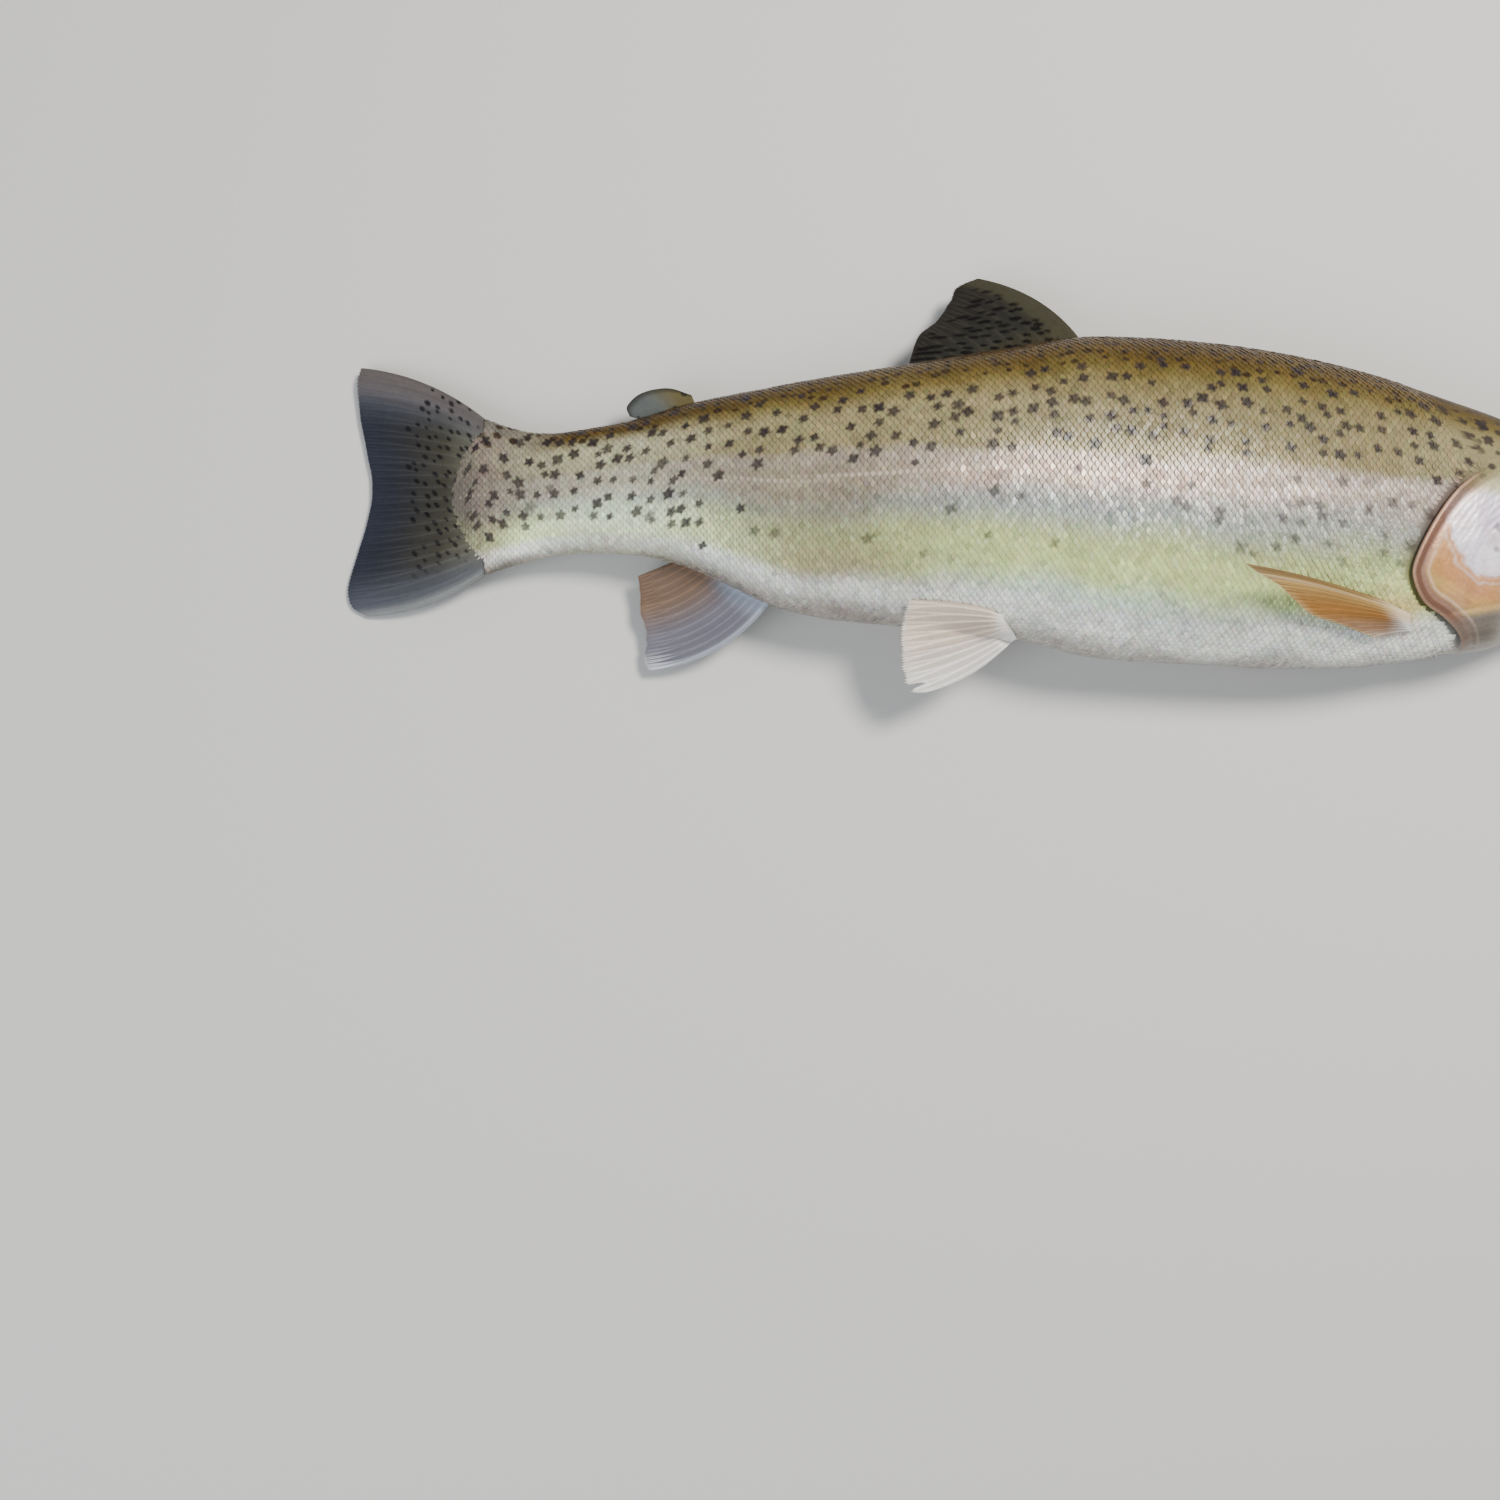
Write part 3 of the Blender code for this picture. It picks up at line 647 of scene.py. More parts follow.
def coat_colour(behind, turn, side):
    """The colour and shine of skin and scales alike."""
    turn, behind = np.broadcast_arrays(np.abs(turn), behind)
    turn = np.where(turn > math.pi, 2 * math.pi - turn, turn)
    level = level_of(turn)
    arc = arc_at(behind, turn)
    page = np.where(np.asarray(side) > 0, 0, 1)
    along = behind + 700 * page
    drift = waves(along, arc, 21, 26) * 0.018 + waves(along, arc, 22, 6) * 0.012
    lowered = 0.08 * ramp(behind, 285, -80) * ramp(behind, 50, 40) * hump(level - 0.68, 0.12)
    here = np.clip(level + drift + lowered, 0, 1)

    def patch(place, length, height, depth):
        """Strongest at one place along the body and one height, fading both ways."""
        return hump(behind - place, length) * hump(here - height, depth)

    upper = hump(here - 0.735, 0.11) * ramp(behind, 230, -50) * ramp(behind, 80, 30)
    colour = painted(
        banded(COAT_BANDS, here),
        (BLUE_GREY, patch(215, 95, 0.435, 0.065) * 0.6),
        (ROSE_TAN, patch(215, 95, 0.55, 0.06) * 0.6),
        (KHAKI, upper * 0.42),
    )
    # Painted shade: darker over the shoulder, where the key light's highlight falls.
    colour = colour * (1 - 0.26 * patch(198, 60, 0.60, 0.10))[..., None]
    waist = hump(behind - 298, 44) * ramp(here, 0.66, -0.1) * ramp(here, 0.08, 0.1)
    edges = ramp(abs(here - 0.5), 0.40, 0.08) * ramp(behind, 386, 18)
    colour = painted(
        colour,
        (WAIST_GREY, waist * 0.70),
        # Mauve-brown along the belly's edge towards the tail: partly its own colour, partly painted
        # shade.
        (MAUVE_BROWN, ramp(here, 0.085, -0.06) * ramp(behind, 245, 40) * 0.36),
        (BELLY_CYAN, patch(196, 46, 0.165, 0.045) * 0.6),
        # Painted shadow of the right pectoral fin on the belly.
        (BELLY_FIN_SHADOW, patch(152, 36, 0.14, 0.045) * 0.4),
        (BREAST_GREY, patch(116, 42, 0.41, 0.11) * 0.45),
        (VENT_BROWN, patch(283, 24, 0.19, 0.09) * 0.5),
        (SADDLE_TAN, patch(292, 34, 0.52, 0.10) * 0.5),
        (STALK_SILVER, hump(behind - 362, 30) * ramp(here, 0.95, -0.14) * 0.55),
        (STALK_GREEN, patch(364, 30, 0.29, 0.15) * 0.6),
        (TAIL_GREY, ramp(behind, 376, 22) * 0.7 * ramp(here, 0.2, 0.2)),
        (MAUVE_BROWN, ramp(behind, 392, 18) * 0.62),
        (LOBE_GREY, np.maximum(edges * 0.75, ramp(behind, 406, 13) * 0.7)),
        (ORANGE_SKIN, patch(98, 9, 0.18, 0.07) * 0.55),
        (LILAC, ramp(behind, 125, -40) * hump(here - 0.5, 0.12) * 0.4),
    )
    colour = colour * (1 + 0.05 * waves(along, arc, 31, 4.0))[..., None]
    small, large = body_spots(behind, arc, page)
    colour = painted(colour, (SPOT_BROWN, small * 0.95), (SPOT, large * 0.95))
    shine = ramp(here, 0.78, -0.24) * np.clip(1 - 1.3 * np.maximum(small, large), 0, 1)
    return np.clip(colour, 0, 1), shine


# ---------------- meshes and materials


def made_mesh(name, points, quads, material, tones=None, numbers=None, uv=None):
    """A smooth mesh from points in millimetres and four-cornered faces."""
    mesh = bpy.data.meshes.new(name)
    points = np.ascontiguousarray(points.reshape(-1, 3) * MM, np.float32)
    quads = np.ascontiguousarray(quads.reshape(-1, 4), np.int32)
    mesh.vertices.add(len(points))
    mesh.vertices.foreach_set("co", points.ravel())
    mesh.loops.add(quads.size)
    mesh.loops.foreach_set("vertex_index", quads.ravel())
    mesh.polygons.add(len(quads))
    mesh.polygons.foreach_set("loop_start", np.arange(0, quads.size, 4, dtype=np.int32))
    mesh.polygons.foreach_set("use_smooth", np.ones(len(quads), bool))
    mesh.update(calc_edges=True)
    if tones is not None:
        rgba = np.ones((len(points), 4), np.float32)
        rgba[:, :3] = tones.reshape(-1, 3)
        mesh.attributes.new("tone", "FLOAT_COLOR", "POINT").data.foreach_set("color", rgba.ravel())
    for key, values in (numbers or {}).items():
        data = np.ascontiguousarray(np.broadcast_to(values, len(points)), np.float32)
        mesh.attributes.new(key, "FLOAT", "POINT").data.foreach_set("value", data)
    if uv is not None:
        corners = np.ascontiguousarray(uv.reshape(-1, 2)[quads.ravel()], np.float32)
        mesh.uv_layers.new(name="OFBake").data.foreach_set("uv", corners.ravel())
    mesh.materials.append(material)
    mesh.validate()
    return linked(name, mesh)


def grid_quads(rows, columns, wrap=False):
    """Faces of a grid of points stored row by row. wrap joins the last row to the first."""
    r = np.arange(rows if wrap else rows - 1)[:, None]
    c = np.arange(columns - 1)[None, :]
    after = (r + 1) % rows
    return np.stack([r * columns + c, after * columns + c, after * columns + c + 1,
                     r * columns + c + 1], axis=-1).reshape(-1, 4)


class Nodes:
    """Short ways to add and join the nodes of one material."""

    def __init__(self, name):
        self.material = bpy.data.materials.new(name)
        self.material.use_nodes = True
        self.tree = self.material.node_tree

    def feed(self, socket, value):
        """Join another node's output to a socket, or give it a plain value."""
        if isinstance(value, bpy.types.NodeSocket):
            self.tree.links.new(value, socket)
        else:
            socket.default_value = value

    def add(self, kind, *in_order, **by_name):
        node = self.tree.nodes.new(kind)
        for key, value in by_name.items():
            if key in node.inputs:
                self.feed(node.inputs[key], value)
            else:
                setattr(node, key, value)
        for socket, value in zip(node.inputs, in_order):
            self.feed(socket, value)
        return node

    def number(self, operation, a, b, clamp=False):
        return self.add("ShaderNodeMath", a, b, operation=operation, use_clamp=clamp).outputs[0]

    def times(self, a, b):
        return self.number("MULTIPLY", a, b)

    def spread(self, value, low, high):
        """A value from 0 to 1 moved to run from low to high."""
        return self.number("ADD", self.times(value, high - low), low)

    def attribute(self, name, output="Fac"):
        return self.add("ShaderNodeAttribute", attribute_name=name).outputs[output]

    def noise(self, scale, detail=3.0, roughness=0.55):
        place = self.add("ShaderNodeTexCoord").outputs["Object"]
        return self.add("ShaderNodeTexNoise", Vector=place, Scale=scale, Detail=detail,
                        Roughness=roughness).outputs["Fac"]

    def own_tone(self, value):
        """The mesh's own colours made darker or lighter by a number."""
        tones = self.attribute("tone", "Color")
        return self.add("ShaderNodeVectorMath", tones, operation="SCALE", Scale=value).outputs[0]

    def bump(self, height, distance, strength, **under):
        return self.add("ShaderNodeBump", Height=height, Distance=distance, Strength=strength,
                        **under).outputs[0]

    def finish(self, **values):
        """Feed the shader, whose sockets are named here with _ for a space."""
        shader = self.tree.nodes["Principled BSDF"]
        for key, value in values.items():
            self.feed(shader.inputs[key.replace("_", " ")], value)
        return self.material


def skin_material():
    """Wet skin: fine dark pigment, a grain of pores, and silver where the shine lies."""
    n = Nodes("wet_skin")
    pigment = n.noise(900.0, 4.0, 0.65)
    value = n.times(n.spread(pigment, 0.70, 1.26), n.spread(n.noise(140.0, 3.0, 0.5), 0.90, 1.10))
    fleck = n.attribute("fleck")
    grains = n.number("MULTIPLY", n.number("SUBTRACT", n.noise(3300.0, 2.0, 0.6), 0.47), 4.0, True)
    value = n.times(value, n.number("SUBTRACT", 1.0, n.times(grains, fleck)))
    rough = n.number("ADD", n.spread(n.noise(420.0, 3.0, 0.6), 0.26, 0.46), n.times(fleck, 0.30))
    coarse = n.bump(pigment, 0.00018, 0.5)
    return n.finish(Base_Color=n.own_tone(value), Metallic=n.times(n.attribute("shine"), 0.40),
                    Roughness=rough, Coat_Weight=0.08, Coat_Roughness=0.14, Coat_IOR=1.36,
                    Normal=n.bump(n.noise(1500.0, 2.0, 0.5), 0.00012, 0.5, Normal=coarse),
                    Specular_IOR_Level=0.16)


def scale_material():
    """Scales: silver that varies from one to the next, with a fine grain over their surface."""
    n = Nodes("scales")
    fine = n.noise(1400.0, 2.0, 0.5)
    value = n.times(n.spread(fine, 0.84, 1.14), n.spread(n.noise(160.0, 3.0, 0.5), 0.92, 1.08))
    return n.finish(Base_Color=n.own_tone(value), Metallic=n.times(n.attribute("shine"), 0.37),
                    Roughness=n.spread(n.noise(600.0, 2.0, 0.6), 0.26, 0.45),
                    Normal=n.bump(fine, 0.00006, 0.6), Coat_Weight=0.13, Coat_Roughness=0.16,
                    Coat_IOR=1.33, Specular_IOR_Level=0.22)


def fin_material(name, roughness):
    """A wet fin: rays with cross joints, and the thin membrane between them."""
    n = Nodes(name)
    mottle = n.noise(500.0, 3.0, 0.6)
    fine = n.noise(1600.0, 2.0, 0.5)
    joints = n.number("SINE", n.times(n.attribute("run"), 5.6), 0.0)
    joints = n.times(joints, n.attribute("ray"))
    value = n.times(n.spread(mottle, 0.86, 1.14), n.spread(fine, 0.92, 1.08))
    value = n.number("ADD", value, n.times(joints, 0.03))
    membrane = n.bump(fine, 0.00006, 0.5)
    return n.finish(Base_Color=n.own_tone(value), Metallic=0.0,
                    Roughness=n.spread(mottle, roughness - 0.08, roughness + 0.1),
                    Normal=n.bump(joints, 0.00005, 0.5, Normal=membrane), Coat_Weight=0.06,
                    Coat_Roughness=0.18, Coat_IOR=1.33, Specular_IOR_Level=0.13)


def eye_material():
    n = Nodes("eye")
    fleck = n.noise(1500.0, 3.0, 0.6)
    return n.finish(Base_Color=n.own_tone(n.spread(fleck, 0.78, 1.22)),
                    Metallic=n.times(n.attribute("shine"), 0.7),
                    Roughness=n.spread(fleck, 0.16, 0.3), Coat_Weight=1.0, Coat_Roughness=0.02,
                    Coat_IOR=1.4)


# ---------------- skin


RIGHT_ROWS = (196, 46)
LEFT_ROWS = (84, 24)
# Each row of the mouth's slit: its offset down from the mouth's line, and its lift.
MOUTH_LIPS = (
    (-1.20, 0.00), (-0.55, 0.05), (-0.12, -0.08), (0.05, -0.45), (-0.30, -0.95),
    (0.02, -1.25), (0.35, -0.75), (0.75, -0.25), (1.45, 0.0),
)
# Each column of the gill's slit: its offset behind the cover's edge, and its lift.
GILL_LIPS = (
    (-2.4, 0.80), (-1.2, 0.86), (-0.45, 0.86), (-0.08, 0.62), (0.02, 0.22), (-0.55, -0.25),
    (-1.25, -0.95), (-0.6, -1.35), (0.5, -1.15), (1.6, -0.85), (3.2, -0.6),
)
# How many of those columns are on the cover's outer face.
COVER_LIPS = 4
HEAD_STEPS = (112, 68)
# Share of the head's length that the first of those steps cover.
HEAD_CROWDING = 0.58
TRUNK_STEPS = 72
WEDGE_STEPS = 9
UV_MARGIN = 0.02
UV_SPAN = 0.96


def girth_rate(behind, turn):
    """Millimetres round the girth for each radian of turn."""
    return np.linalg.norm(body(behind, turn + 0.01) - body(behind, turn - 0.01), axis=-1) / 0.02


def skin_rows():
    """Each row's turn, its share of the mouth's shift, and its place among the lips, if any."""
    rows = []
    for side, (upper, lower) in ((1.0, RIGHT_ROWS), (-1.0, LEFT_ROWS)):
        half = [(MOUTH_TURN * i / upper, i / upper, -1, side) for i in range(upper)]
        half += [(MOUTH_TURN, 1.0, k, side) for k in range(len(MOUTH_LIPS))]
        for i in range(1, lower + 1):
            share = i / lower
            half.append((mixed(MOUTH_TURN, math.pi, share), 1 - share, -2, side))
        rows += half if side > 0 else half[1:-1][::-1]
    return rows


def make_skin(material):
    """One skin over head and trunk, with the mouth's and the gill covers' slits in it."""
    rows = skin_rows()
    base_turn, hat, lip, side = (np.array([r[k] for r in rows])[:, None] for k in range(4))
    lip_offset, lip_lift = np.array(MOUTH_LIPS).T
    flat = np.linspace(lip_offset[0], lip_offset[-1], len(MOUTH_LIPS))
    is_lip = lip >= 0
    which = np.maximum(lip, 0)
    closed_offset = np.where(is_lip, flat[which], np.where(lip == -1, flat[0], flat[-1]) * hat**3)
    edge = np.interp(base_turn, EDGE_TURN, EDGE_BEHIND)
    metric = np.maximum(girth_rate(edge, base_turn), 4.0)
    rear_turn = base_turn + closed_offset / (metric + 5.0)
    edge = np.interp(rear_turn, EDGE_TURN, EDGE_BEHIND)
    slope = np.interp(rear_turn, EDGE_TURN, EDGE_SLOPE)
    size = np.hypot(metric, slope)
    back_share = metric / size
    round_share = -slope / size * ramp(rear_turn, math.pi, -0.35)
    open_gill = ramp(rear_turn, TOP_CORNER, 0.30)
    open_gill = open_gill * (1 - 0.75 * ramp(rear_turn, math.radians(150), 0.5))

    near, far = HEAD_STEPS
    first = np.linspace(0.0, 1.0, near + 1) ** 1.12 * HEAD_CROWDING
    head_at = np.concatenate([first, np.linspace(HEAD_CROWDING, 1.0, far + 1)[1:]])
    lips_at, lips_lift = np.array(GILL_LIPS).T
    start, end = lips_at[0], lips_at[-1]
    across = mixed(np.linspace(start, end, len(GILL_LIPS)), lips_at, open_gill)
    trunk_at = np.linspace(0, 1, TRUNK_STEPS + 1)[1:] ** 1.15
    wedge_at = np.sin(np.linspace(0, math.pi / 2, WEDGE_STEPS + 1)[1:]) * 0.999
    behind = np.concatenate([
        head_at * (edge + start * back_share),
        (edge + across * back_share)[:, 1:],
        mixed(edge + end * back_share, BODY_END, trunk_at),
        BODY_END + TAIL_WEDGE * wedge_at * np.ones_like(edge),
    ], axis=1)
    turn = np.concatenate([
        base_turn + head_at**8 * start * round_share / metric,
        (base_turn + across * round_share / metric)[:, 1:],
        base_turn + (1 - trunk_at) ** 8 * end * round_share / metric,
        base_turn * np.ones_like(wedge_at),
    ], axis=1)
    columns = behind.shape[1]
    head_columns = len(head_at)
    lip_columns = head_columns + len(GILL_LIPS) - 1

    # The row of the mouth, and the lips either side of it.
    turn = turn + hat * (mouth_turn(behind) - MOUTH_TURN)
    open_mouth = ramp(behind, MOUTH_END, -3.5)
    here = girth_rate(behind, turn)
    offset = mixed(flat[which], lip_offset[which], open_mouth)
    offset = np.where(is_lip, offset, closed_offset)
    turn = turn + offset / (here + 5.0) * ramp(behind, 300, -150)
    mouth_lift = np.where(is_lip, lip_lift[which] * open_mouth, 0.0)
    mouth_lift = mouth_lift * mixed(0.6, 1.0, ease(here / 9.0))

    # Heights: the head stands proud of the trunk, more so at the gill cover.
    column = np.arange(columns)[None, :]
    on_head = column < head_columns
    among_lips = (column >= head_columns) & (column < lip_columns)
    lips_index = np.clip(column - head_columns + 1, 0, len(GILL_LIPS) - 1)
    rear = ramp(behind, 45, 30)
    closed_head = mixed(-HEAD_INSET, -SKIN_INSET, ramp(behind, 52, 24))
    head_lift = mixed(closed_head, GILL_PROUD * rear - HEAD_INSET, open_gill)
    closed = mixed(closed_head, -SKIN_INSET, ease(lips_index / (len(GILL_LIPS) - 1)))
    opened = lips_lift[lips_index]
    lips = mixed(closed, np.where(opened > 0, opened * rear, opened), open_gill)
    trunk_share = np.clip((column - lip_columns + 1) / 6, 0, 1)
    trunk = mixed(lips[:, lip_columns - 1 : lip_columns], -SKIN_INSET, ease(trunk_share))
    lift = np.where(on_head, head_lift, np.where(among_lips, lips, trunk))
    lift = mixed(lift, -0.15, np.clip((behind - BODY_END) / TAIL_WEDGE, 0, 1))

    x, y = np.moveaxis(body(behind, turn)[..., :2], -1, 0)
    from_edge = path_distance(x, y, smooth_path(GILL_EDGE, 6))[0]
    relief = head_relief(x, y, turn, behind) * ramp(behind, 98, -6)
    opercle = open_gill * ramp(behind, 58, 5) * on_head
    relief = relief + cover_relief(x, y, from_edge) * opercle
    isthmus = hump((math.pi - turn) * 20, 1.3) * ramp(behind, 22, 12) * ramp(behind, 58, -8)
    lift = lift + relief * on_head + mouth_lift - 0.5 * isthmus
    points = on_body(behind, turn, lift, side)
    points[:, 0] = (SNOUT_X - 0.7, SNOUT_Y, float(MIDDLE(0.0)))

    colour, shine = coat_colour(behind, turn, side)
    on_cover = (column < head_columns + COVER_LIPS) * 1.0
    colour, shine, fleck = head_colour(colour, shine, x, y, turn, behind, on_cover, from_edge,
                                       open_gill, np.where(side > 0, 0, 1))
    # Painted shade deep in the mouth's and the gill cover's slits.
    slit_shade = np.clip(-mouth_lift / 1.1, 0, 1)
    slit_shade = np.maximum(slit_shade, np.where(among_lips, np.clip(-lips / 1.3, 0, 1), 0) * open_gill)
    colour = mixed(colour, SLIT_SHADOW, slit_shade * 0.85)
    shine = shine * (1 - slit_shade)
    u = UV_MARGIN + UV_SPAN * np.arange(1, columns + 1)[None, :] / columns
    v = UV_MARGIN + UV_SPAN * np.arange(len(rows))[:, None] / len(rows)
    uv = np.stack(np.broadcast_arrays(u, v), axis=-1)
    quads = grid_quads(len(rows), columns, wrap=True)
    numbers = {"shine": shine.ravel(), "fleck": fleck.ravel()}
    return made_mesh("skin", points, quads, material, colour, numbers, uv)


def cover_colour(colour, x, y, turn, behind, from_edge):
    """The gill cover: a pearly upper plate and a bronze lower one, olive towards the crown."""
    level = level_of(turn)
    pearl = offset_from(SUTURE, x, y)
    crease = np.clip(crinkle(x, y, 81, 1.5), 0, 1)
    upper = painted(
        PEARL,
        (PEARL_LILAC, ease(waves(x, y, 79, 3.2) + 0.5) * 0.8),
        (PEARL_ROSE, ease(waves(x, y, 87, 2.1) * 1.3) * 0.5),
        (PEARL_SHADE, ease(waves(x, y, 101, 1.1) * 1.4 - 0.15) * 0.4),
        (PEARL_WHITE, crease * 0.6),
    )
    lower = painted(
        BRONZE,
        (CREAM, ramp(level, 0.20, -0.08)),
        (BRONZE_ROSE, ease(waves(x, y, 83, 2.6) + 0.4) * 0.34),
        (BRONZE_DARK, ease(waves(x, y, 99, 1.7) * 1.3 - 0.1) * 0.4),
        (BRONZE_GOLD, ease(waves(x, y, 88, 1.3) * 1.5) * 0.5),
    )
    lower = painted(
        lower * (1 - 0.07 * crease)[..., None],
        (BRONZE_OLIVE, ease((9 - from_edge) / 4 + 0.6 * waves(x, y, 94, 2.2)) * 0.5),
        (SUTURE_COPPER, hump(pearl + 4.5, 3.5) * 0.45),
    )
    wavy = pearl + 0.6 * waves(x, y, 89, 0.9) + 1.1 * waves(x, y, 96, 2.3)
    growth_lines = ((0.7, 0.7), (2.5, 0.45), (-2.2, 0.4), (4.6, 0.3))
    cheek = ease((66 - behind) / 9 + 0.15 * waves(x, y, 85, 4.0))
    plate = painted(
        mixed(lower, upper, ease(wavy / 2.4 + 0.5)),
        (SUTURE_COPPER, hump(wavy + 0.6, 1.0) * 0.4),
        *((PEARL_WHITE, hump(wavy - offset, 0.4) * share) for offset, share in growth_lines),
        (COVER_GREEN, ease((y + 12 - waves(x, y, 84, 3.0) * 1.5) / 6) * 0.8),
        (KHAKI, ease((y + 1) / 7)),
        (OLIVE, ramp(y, 7, 9)),
        (THROAT_GREY, ramp(offset_from(INTEROPERCLE, x, y), 0.5, 3.0) * (behind > 40)),
        # Darker towards the lower edge: the membrane's own grey, and painted shade.
        (THROAT_DARK, ramp(level, 0.11, -0.08) * 0.75),
        (CHEEK_PINK, cheek * ramp(level, 0.15, 0.1) * 0.7),
    )
    return mixed(colour, plate, ramp(behind, 50, 12) * ramp(turn, 0.55, 0.5))


def rim_colour(colour, level, from_edge, rim):
    """The gill cover's soft rim: tan at the very edge, then dark brown, mauve and a pale line."""
    upper = ramp(level, 0.50, 0.2)
    return painted(
        colour,
        (mixed(RIM_MAUVE, KHAKI, upper), ramp(from_edge, 5.0, -1.4) * rim * 0.85),
        (mixed(RIM_BROWN, RIM_OLIVE, upper), hump(from_edge - 1.8, 0.95) * rim * 0.95),
        (RIM_TAN, ramp(from_edge, 1.1, -0.5) * rim * 0.9),
        (RIM_PALE, hump(from_edge - 5.2, 0.45) * rim * 0.6 * (1 - upper)),
    )


def head_colour(colour, shine, x, y, turn, behind, on_head, from_edge, open_gill, page):
    """The markings that only the head has, and painted shade in its eye sockets and nostrils, over
    the colours it shares with the trunk.
    """
    level = level_of(turn)
    front = ramp(behind, 66, -16)
    crown = ramp(level, 0.70, 0.14)
    on_cover = on_head * open_gill
    drift = waves(x, y, 86, 7.0) * 0.03 + waves(x, y, 92, 2.4) * 0.012
    cheek = front * hump(level - 0.44, 0.16) * ramp(behind, 24, 12)
    nose = ramp(behind, 18, -12) * ramp(level, 0.28, 0.3)
    plate = inside_maxilla(x, y) * front
    from_top = path_distance(x, y, MAXILLA_TOP)[0]
    lip_turn = mouth_turn(behind)
    jaw = ramp(turn, lip_turn, 0.06) * ramp(behind, 46, -3)
    below_dentary = offset_from(DENTARY, x, y)
    corner = hump(behind - 41, 9) * hump(turn - lip_turn, 0.5)
    tip = ramp(behind, 9, -7)
    colour = painted(
        colour,
        (cover_colour(colour, x, y, turn, behind, from_edge), on_cover),
        (banded(FACE_BANDS, np.clip(level + drift, 0, 1)), front),
        (PEARL_ROSE, cheek * np.clip(crinkle(x, y, 93, 2.2), 0, 1) * 0.5),
        (NOSE_OLIVE, nose * 0.6),
        (MAXILLA_TAN, plate * 0.55),
        (PEARL_ROSE, plate * ease(waves(x, y, 98, 2.4) * 1.2 + 0.3) * 0.35),
        (MAXILLA_DARK, plate * hump(from_top - 1.0, 1.2) * 0.45),
        (JAW_SILVER, jaw * 0.6),
        (LIP_GREY, jaw * ease(waves(x, y, 97, 1.9) * 1.2 - 0.1) * 0.35),
        (GULAR_ROSE, jaw * ramp(below_dentary, 4.8, 1.4) * 0.4),
        (MAXILLA_DARK, jaw * hump(below_dentary - 5.2, 0.7) * 0.3),
        (PEARL_ROSE, corner * (1 - plate) * 0.4),
        (LIP_GREY, jaw * ramp(turn, lip_turn + 0.16, -0.12) * 0.5),
        (CHIN_GREY, jaw * tip * 0.6),
    )
    colour = rim_colour(colour, level, from_edge, on_cover * mixed(0.25, 1.0, ease((y + 53) / 7)))
    ridge_gap = path_distance(x, y, PREOPERCLE)[0]
    arc = arc_at(behind, turn)

    def dots(ca, cb):
        return 0.80 * ramp(cb, 1, 7) * ramp(ca, 9, 12)

    def blotches(ca, cb):
        return 0.32 * ease((cb + 22) / 10) * ramp(ca, 40, 6)

    small = spots(behind, arc, (4.9, 4.6), (1.2, 1.1), dots, 77, soft=0.5, page=page)
    small = small * ramp(behind, 76, -8)
    large = spots(behind, arc, (9, 9), (1.7, 1.4), blotches, 78, star=0.1, soft=0.7, page=page)
    large = large * on_head * ramp(behind, 84, -6)
    eye = np.hypot(x - (SNOUT_X - EYE_BACK), y - EYE_Y)
    colour = painted(
        colour,
        (RIDGE_BROWN, hump(ridge_gap, 0.7) * on_head * 0.45),
        (SPOT, small * 0.88),
        (SPOT, large * 0.62),
        (LID_OLIVE, hump(eye - ORBIT - 0.3, 0.8) * 0.6),
        # Painted shade in the eye's socket, round the eye.
        (SOCKET_SHADOW, ramp(eye, ORBIT - 0.1, -0.5)),
    )
    # Painted shade inside the nostrils.
    for place in NOSTRILS:
        hole = np.hypot(x - place[0], y - place[1])
        colour = mixed(colour, NOSTRIL_SHADOW, ramp(hole, 1.1, -0.6) * ease(turn / 0.4))
    marked = np.maximum(small, large)
    shine = shine * mixed(1.0, 0.85 * (1 - crown), front) * (1 - marked) * (1 - 0.7 * jaw)
    pearly = on_cover * ramp(behind, 52, 8) * ramp(from_edge, 4.5, 1.5)
    shine = mixed(shine, 0.45, pearly * ramp(level, 0.12, 0.1))
    fleck = mixed(0.06, 0.55, ramp(level, 0.34, 0.34))
    fleck = np.maximum(fleck * (1 - 0.7 * plate), np.maximum(plate * 0.16, nose * 0.6))
    fleck = np.maximum(fleck, jaw * mixed(0.14, 0.4, tip) * ramp(turn, math.pi, -0.3))
    fleck = fleck * ramp(behind, 104, -20) * mixed(1.0, 0.35, pearly)
    return colour, shine, fleck


# ---------------- scales


ROW_SPACING = 1.6
SCALE_PITCH = 2.25
SCALE_LENGTH = 2.75
SCALE_HALF_WIDTH = 1.72
STRIPS = 8
FIRST_SCALE = 50.0
WIDEST_HALF_GIRTH = 100.0
GILL_CLEARANCE = 1.3
TAIL_CLEARANCE = 0.8
# Each scale's patch on the bake map, and the place behind the snout where that map starts.
UV_PATCH = 0.003
UV_START = 40.0
# Share of the scale's length, and lift over the solid's surface.
SCALE_PROFILE = ((-0.08, -0.50), (0.34, -0.335), (0.60, -0.26), (0.81, -0.20), (1.0, -0.16),
                 (0.985, -0.42))
SCALE_ACROSS = (-1.0, -0.64, -0.22, 0.22, 0.64, 1.0)
# The lateral line's place behind the snout, and its height over the middle of the side.
LATERAL_LINE = ((76, 110, 160, 205, 249, 300, 357, 408), (9, 1.5, -3.2, 0.6, 2.4, 0.4, -3.4, -1.0))


